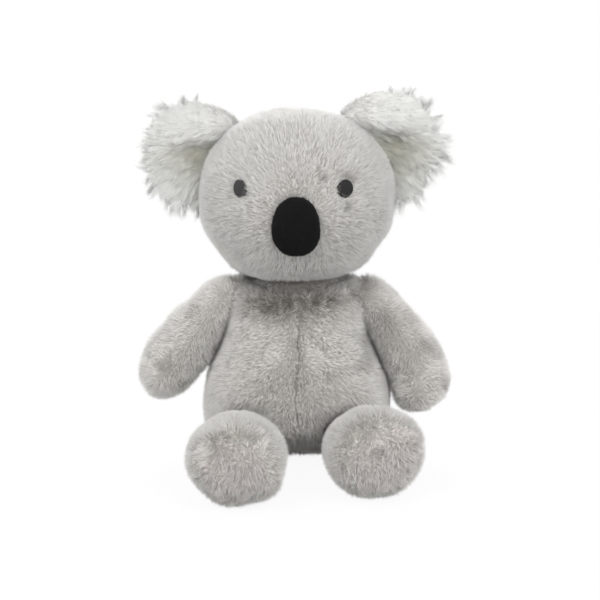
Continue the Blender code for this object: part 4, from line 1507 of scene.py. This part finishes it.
@dataclass
class KoalaLeg:
    """A leg: an outer and an inner panel, and a round sole."""

    side: Side
    splay: float
    reach: float
    bulges: Hills
    foot_half: float = 29 * MM
    foot_depth: float = 24 * MM
    sole_back: float = 6 * MM
    groove: float = 1.0 * MM
    pile: Pile = Pile(root_height=0.2)
    sole_pile: Pile = Pile(lean=30, tuft_size=1.6, tuft=0.3, stray=0.12, spread=0.16)

    def __post_init__(self) -> None:
        """Work out the leg's directions, and the middle of its sole."""
        angle = math.radians(self.splay)
        self.along = np.array((self.side.value * math.sin(angle), -math.cos(angle), 0))
        self.across = np.array((math.cos(angle), self.side.value * math.sin(angle), 0))
        self.pivot = self.side.mirror(HIP)
        self.sole = self.pivot + self.reach * self.along + (self.foot_half - HIP[2]) * -DOWN

    def from_hip(self, points: Array) -> Array:
        """How far along the leg points are from the hip, in mm."""
        return (points - self.pivot) @ self.along / MM

    def flow(self, points: Array, normals: Array) -> Array:
        """The pile runs towards the foot."""
        return self.along + 0.35 * drift_vector(points, 18 * MM, 110)

    def sole_flow(self, points: Array, normals: Array) -> Array:
        """The sole's pile runs out from its middle."""
        return (points - self.sole) / (34 * MM) + 0.8 * DOWN + 0.5 * drift_vector(points, 14 * MM, 111)

    def shaped(self, points: Array, ways: Array) -> Array:
        """Lift the foot's skin where the photo shows it fuller."""
        return MM * hills(points, self.bulges)

    def ruffle(self, points: Array) -> Array:
        """The pile is smooth on top of the foot and ruffled below."""
        return np.clip(0.9 - (points[:, 2] / MM - 28) / 24, 0.2, 1)

    def clear_of_hip(self, points: Array) -> Array:
        """Which points aren't on the ball that sits in the body."""
        return self.from_hip(points) > -6

    def length(self, points: Array) -> Array:
        """The pile is worn short next to the body."""
        return 0.5 + 0.5 * ramp(self.from_hip(points), 4, 12)

    def build(self, nodes: dict[str, Object]) -> None:
        """Make the leg from the CAD nodes by name.

        Args:
            nodes: The CAD nodes by name.
        """
        body = f"leg_{self.side.word}"
        seam = self.pivot + (self.reach - self.sole_back) * self.along
        form = SoftForm(
            [nodes[f"{body}_{part}"] for part in ("outer", "inner", "sole")], self.pivot,
            self.sole - self.foot_depth * self.along, self.along, self.across, cap_rows=0.25,
            seams=[(self.pivot, self.across, 0.5 * MM), (seam, self.along, self.groove)], lumps=0.6 * MM,
            shaping=self.shaped,
        )
        add_stuffing(body + "_stuffing", form, body, (body + "_filling",))
        halves = ("outer", "inner") if self.side is Side.LEFT else ("inner", "outer")
        for number, part in enumerate(halves):
            turns = ((number - 0.5) * math.pi, (number + 0.5) * math.pi)
            edge = form.crossing(np.linspace(*turns, 40), seam, self.along)
            PlushPanel(
                f"{body}_{part}_plush", form, GREY_PLUSH, self.pile, self.flow, body, "plush_grey",
                (f"{body}_{part}",), 110 + 5 * self.side.value + number, turns, (0.0, edge),
                length_at=self.length, keep_at=self.clear_of_hip, ruffle_at=self.ruffle,
            ).build()
        sole_form = copy.copy(form)
        sole_form.seams = form.seams[1:]
        turns = (-0.5 * math.pi, 1.5 * math.pi)
        edge = form.crossing(np.linspace(*turns, 80), seam, self.along)
        PlushPanel(
            body + "_sole_plush", sole_form, SOLE_PLUSH, self.sole_pile, self.sole_flow, body, "plush_grey",
            (body + "_sole",), 118 + self.side.value, turns, (edge, 1.0), skin_rows=30, skin_columns=90,
        ).build()


@dataclass
class KoalaNeck:
    """The neck's soft roll, seen only when the head moves."""

    middle: Place = (0.0, 0.0, 119 * MM)
    half: Place = (30 * MM, 24 * MM, 11 * MM)
    pile: Pile = Pile(length=3.4, density=1.5, width=0.45)

    def shaped(self, points: Array, ways: Array) -> Array:
        """Widen the ball to the soft roll that fills the seam between head and body."""
        wanted = 1 / np.linalg.norm(ways / np.array(self.half), axis=-1)
        return wanted - np.linalg.norm(points - np.array(self.middle), axis=-1)

    def flow(self, points: Array, normals: Array) -> Array:
        """The pile lies downwards."""
        return np.broadcast_to(DOWN, points.shape)

    def build(self, nodes: dict[str, Object]) -> None:
        """Make the neck from the CAD nodes by name.

        Args:
            nodes: The CAD nodes by name.
        """
        middle = np.array(self.middle)
        form = SoftForm([nodes["neck_filling"]], middle, middle, inset=0.0, shaping=self.shaped)
        # The whole roll is painted darker, as painted shade under the head.
        PlushPanel(
            "neck_plush", form, GREY_PLUSH, self.pile, self.flow, "neck", "plush_grey",
            ("neck_filling",), 130, painted_shade_at=evenly(0.6), skin_rows=30,
        ).build()


@dataclass
class Studio:
    """A white floor and soft light, with a camera at the photograph's angle."""

    target: Place = (2 * MM, 0.0, 106 * MM)
    elevation: float = 11.5
    distance: float = 1.1
    lens: float = 96.6
    lamp_side: float = 1.45
    lamps: tuple[tuple[str, Place, float], ...] = (
        ("key_light", (-1.28, -1.6, 1.6), 37.0),
        ("fill_light", (1.2, -1.8, 1.25), 35.0),
        ("back_light", (0.0, 1.6, 1.5), 32.0),
    )
    sky: float = 0.62
    white_floor: float = 0.93

    def aim(self, data: bpy.types.ID, place: Vector) -> Object:
        """Hang a light or a camera somewhere, turned to the toy.

        Args:
            data: The light or the camera.
            place: Where it hangs.

        Returns:
            Its object.
        """
        made = bpy.data.objects.new(data.name, data)
        bpy.context.collection.objects.link(made)
        made.location = place
        made.rotation_euler = (Vector(self.target) - place).to_track_quat("-Z", "Y").to_euler()
        return made

    def shown(self, tree: NodeTree) -> NodeSocket:
        """A value that is 1 for rays from the camera, a mirror or glass, and else 0.

        Args:
            tree: The tree that the nodes are added to.

        Returns:
            The socket that gives the value.
        """
        rays = node(tree, "LightPath", {}, {}).outputs
        most = {"operation": "MAXIMUM"}
        some = node(tree, "Math", most, {0: rays["Is Camera Ray"], 1: rays["Is Glossy Ray"]})
        return node(tree, "Math", most, {0: some.outputs[0], 1: rays["Is Transmission Ray"]}).outputs[0]

    def floor(self) -> None:
        """Lay the floor, white to the camera but for the toy's soft shadow."""
        bpy.ops.mesh.primitive_plane_add(size=12)
        made = bpy.context.object
        made.name = "studio_floor"
        paper = bpy.data.materials.new("white_paper_floor")
        paper.use_nodes = True
        tree = paper.node_tree
        tree.nodes.clear()
        matt = node(tree, "BsdfDiffuse", {"Color": linear("E6E6E6")}, {})
        white = node(tree, "Emission", {"Color": linear("FFFFFF"), "Strength": 1.0}, {})
        place = node(tree, "NewGeometry", {}, {})
        away = node(tree, "VectorMath", {"operation": "LENGTH"}, {0: place.outputs["Position"]})
        edge = {"From Min": 0.15, "From Max": 0.5, "To Min": self.white_floor, "To Max": 1.0}
        far = node(tree, "MapRange", edge, {0: away.outputs["Value"]})
        seen = node(tree, "Math", {"operation": "MULTIPLY"}, {0: far.outputs[0], 1: self.shown(tree)})
        mixed = node(tree, "MixShader", {}, {0: seen.outputs[0], 1: matt.outputs[0], 2: white.outputs[0]})
        node(tree, "OutputMaterial", {}, {"Surface": mixed.outputs[0]})
        made.data.materials.append(paper)

    def surroundings(self) -> None:
        """Light the toy evenly from all round, and show white behind it."""
        world = bpy.data.worlds.new("studio")
        bpy.context.scene.world = world
        world.use_nodes = True
        tree = world.node_tree
        tree.nodes.clear()
        soft, white = (
            node(tree, "Background", {"Color": linear("FFFFFF"), "Strength": strength}, {}).outputs[0]
            for strength in (self.sky, 1.0)
        )
        mixed = node(tree, "MixShader", {}, {0: self.shown(tree), 1: soft, 2: white})
        node(tree, "OutputWorld", {}, {"Surface": mixed.outputs[0]})

    def build(self) -> None:
        """Set up the whole studio, with the camera where the photograph was taken from."""
        bpy.context.scene.view_settings.view_transform = "Standard"
        camera = bpy.data.cameras.new("photo_camera")
        camera.lens = self.lens
        camera.sensor_width = 36
        angle = math.radians(self.elevation)
        way = Vector((0, -math.cos(angle), math.sin(angle)))
        bpy.context.scene.camera = self.aim(camera, Vector(self.target) + self.distance * way)
        self.surroundings()
        self.floor()
        for name, place, watts in self.lamps:
            light = bpy.data.lights.new(name, "AREA")
            light.size = self.lamp_side
            light.energy = watts
            self.aim(light, Vector(place))


LEFT_EAR = KoalaEar(
    Side.LEFT, np.array((66.9, 4.0, 210.0)) * MM,
    (
        27.0, 25.4, 28.1, 32.6, 35.6, 37.2, 40.5, 43.2, 43.0,
        36.0, 26.7, 26.1, 30.2, 33.6, 33.0, 29.2, 24.8, 23.4,
    ),
    roll_level=13.5, roll_fall=0.1, rim=-22.0, fringe_turns=(-95.0, 100.0), pocket=8.0,
    pocket_at=(-5.0, -13.0, 20.0, 18.0),
)
RIGHT_EAR = KoalaEar(
    Side.RIGHT, np.array((-69.0, 4.0, 204.4)) * MM,
    (
        28.8, 30.2, 34.3, 35.6, 35.3, 35.1, 35.6, 36.6, 36.0,
        31.4, 27.4, 28.8, 30.9, 32.2, 30.9, 30.2, 30.0, 28.8,
    ),
    roll_level=12.3, roll_fall=0.0, rim=-18.0, fringe_turns=(-105.0, 95.0), pocket=5.5,
    pocket_at=(-9.0, -9.0, 22.0, 15.0),
)
LEFT_ARM = KoalaArm(
    # The arm's spot of painted shade where it meets the body.
    Side.LEFT, 31, whorl=(80, -20, 48), shadow_spots=(((60, -20, 94), 15, 0.4),), brushed=0.8,
    bulges=(
        ((94, -8, 70), 25, 3.2), ((74, -4, 32), 10, 5.0), ((62, -4, 119), 10, -3.0), ((80, -24, 38), 13, 5.0),
        ((90, -20, 52), 16, 3.0), ((92, -14, 71), 9, 2.0),
    ),
)
RIGHT_ARM = KoalaArm(
    Side.RIGHT, 40, whorl=(-93, -18, 56), bulges=(((-106, -4, 46), 14, -3.5), ((-92, -22, 48), 12, 3.5))
)
LEFT_LEG = KoalaLeg(Side.LEFT, 12, 86 * MM, (((74, -115, 50), 14, 5.0), ((46, -106, 60), 16, 2.5)))
RIGHT_LEG = KoalaLeg(Side.RIGHT, 2, 100 * MM, (((-12, -133, 14), 11, 4.0),))


def main() -> None:
    """Dress the whole toy, and set its light and camera."""
    logging.basicConfig(level=logging.INFO, format="%(message)s")
    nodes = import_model()["nodes"]
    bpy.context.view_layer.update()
    Studio().build()
    KoalaBody().build(nodes)
    head = KoalaHead()
    head_form = head.build(nodes)
    KoalaNeck().build(nodes)
    KoalaNose().build(nodes)
    KoalaEye(Side.LEFT, head.eyes[0], SHADED_EYE_THREAD, 5.3 * MM).build(head_form)
    KoalaEye(Side.RIGHT, head.eyes[1], EYE_THREAD, 4.5 * MM).build(head_form)
    for ear in (LEFT_EAR, RIGHT_EAR):
        ear.build(head_form)
    for limb in (LEFT_ARM, RIGHT_ARM, LEFT_LEG, RIGHT_LEG):
        limb.build(nodes)


if __name__ == "__main__":
    main()
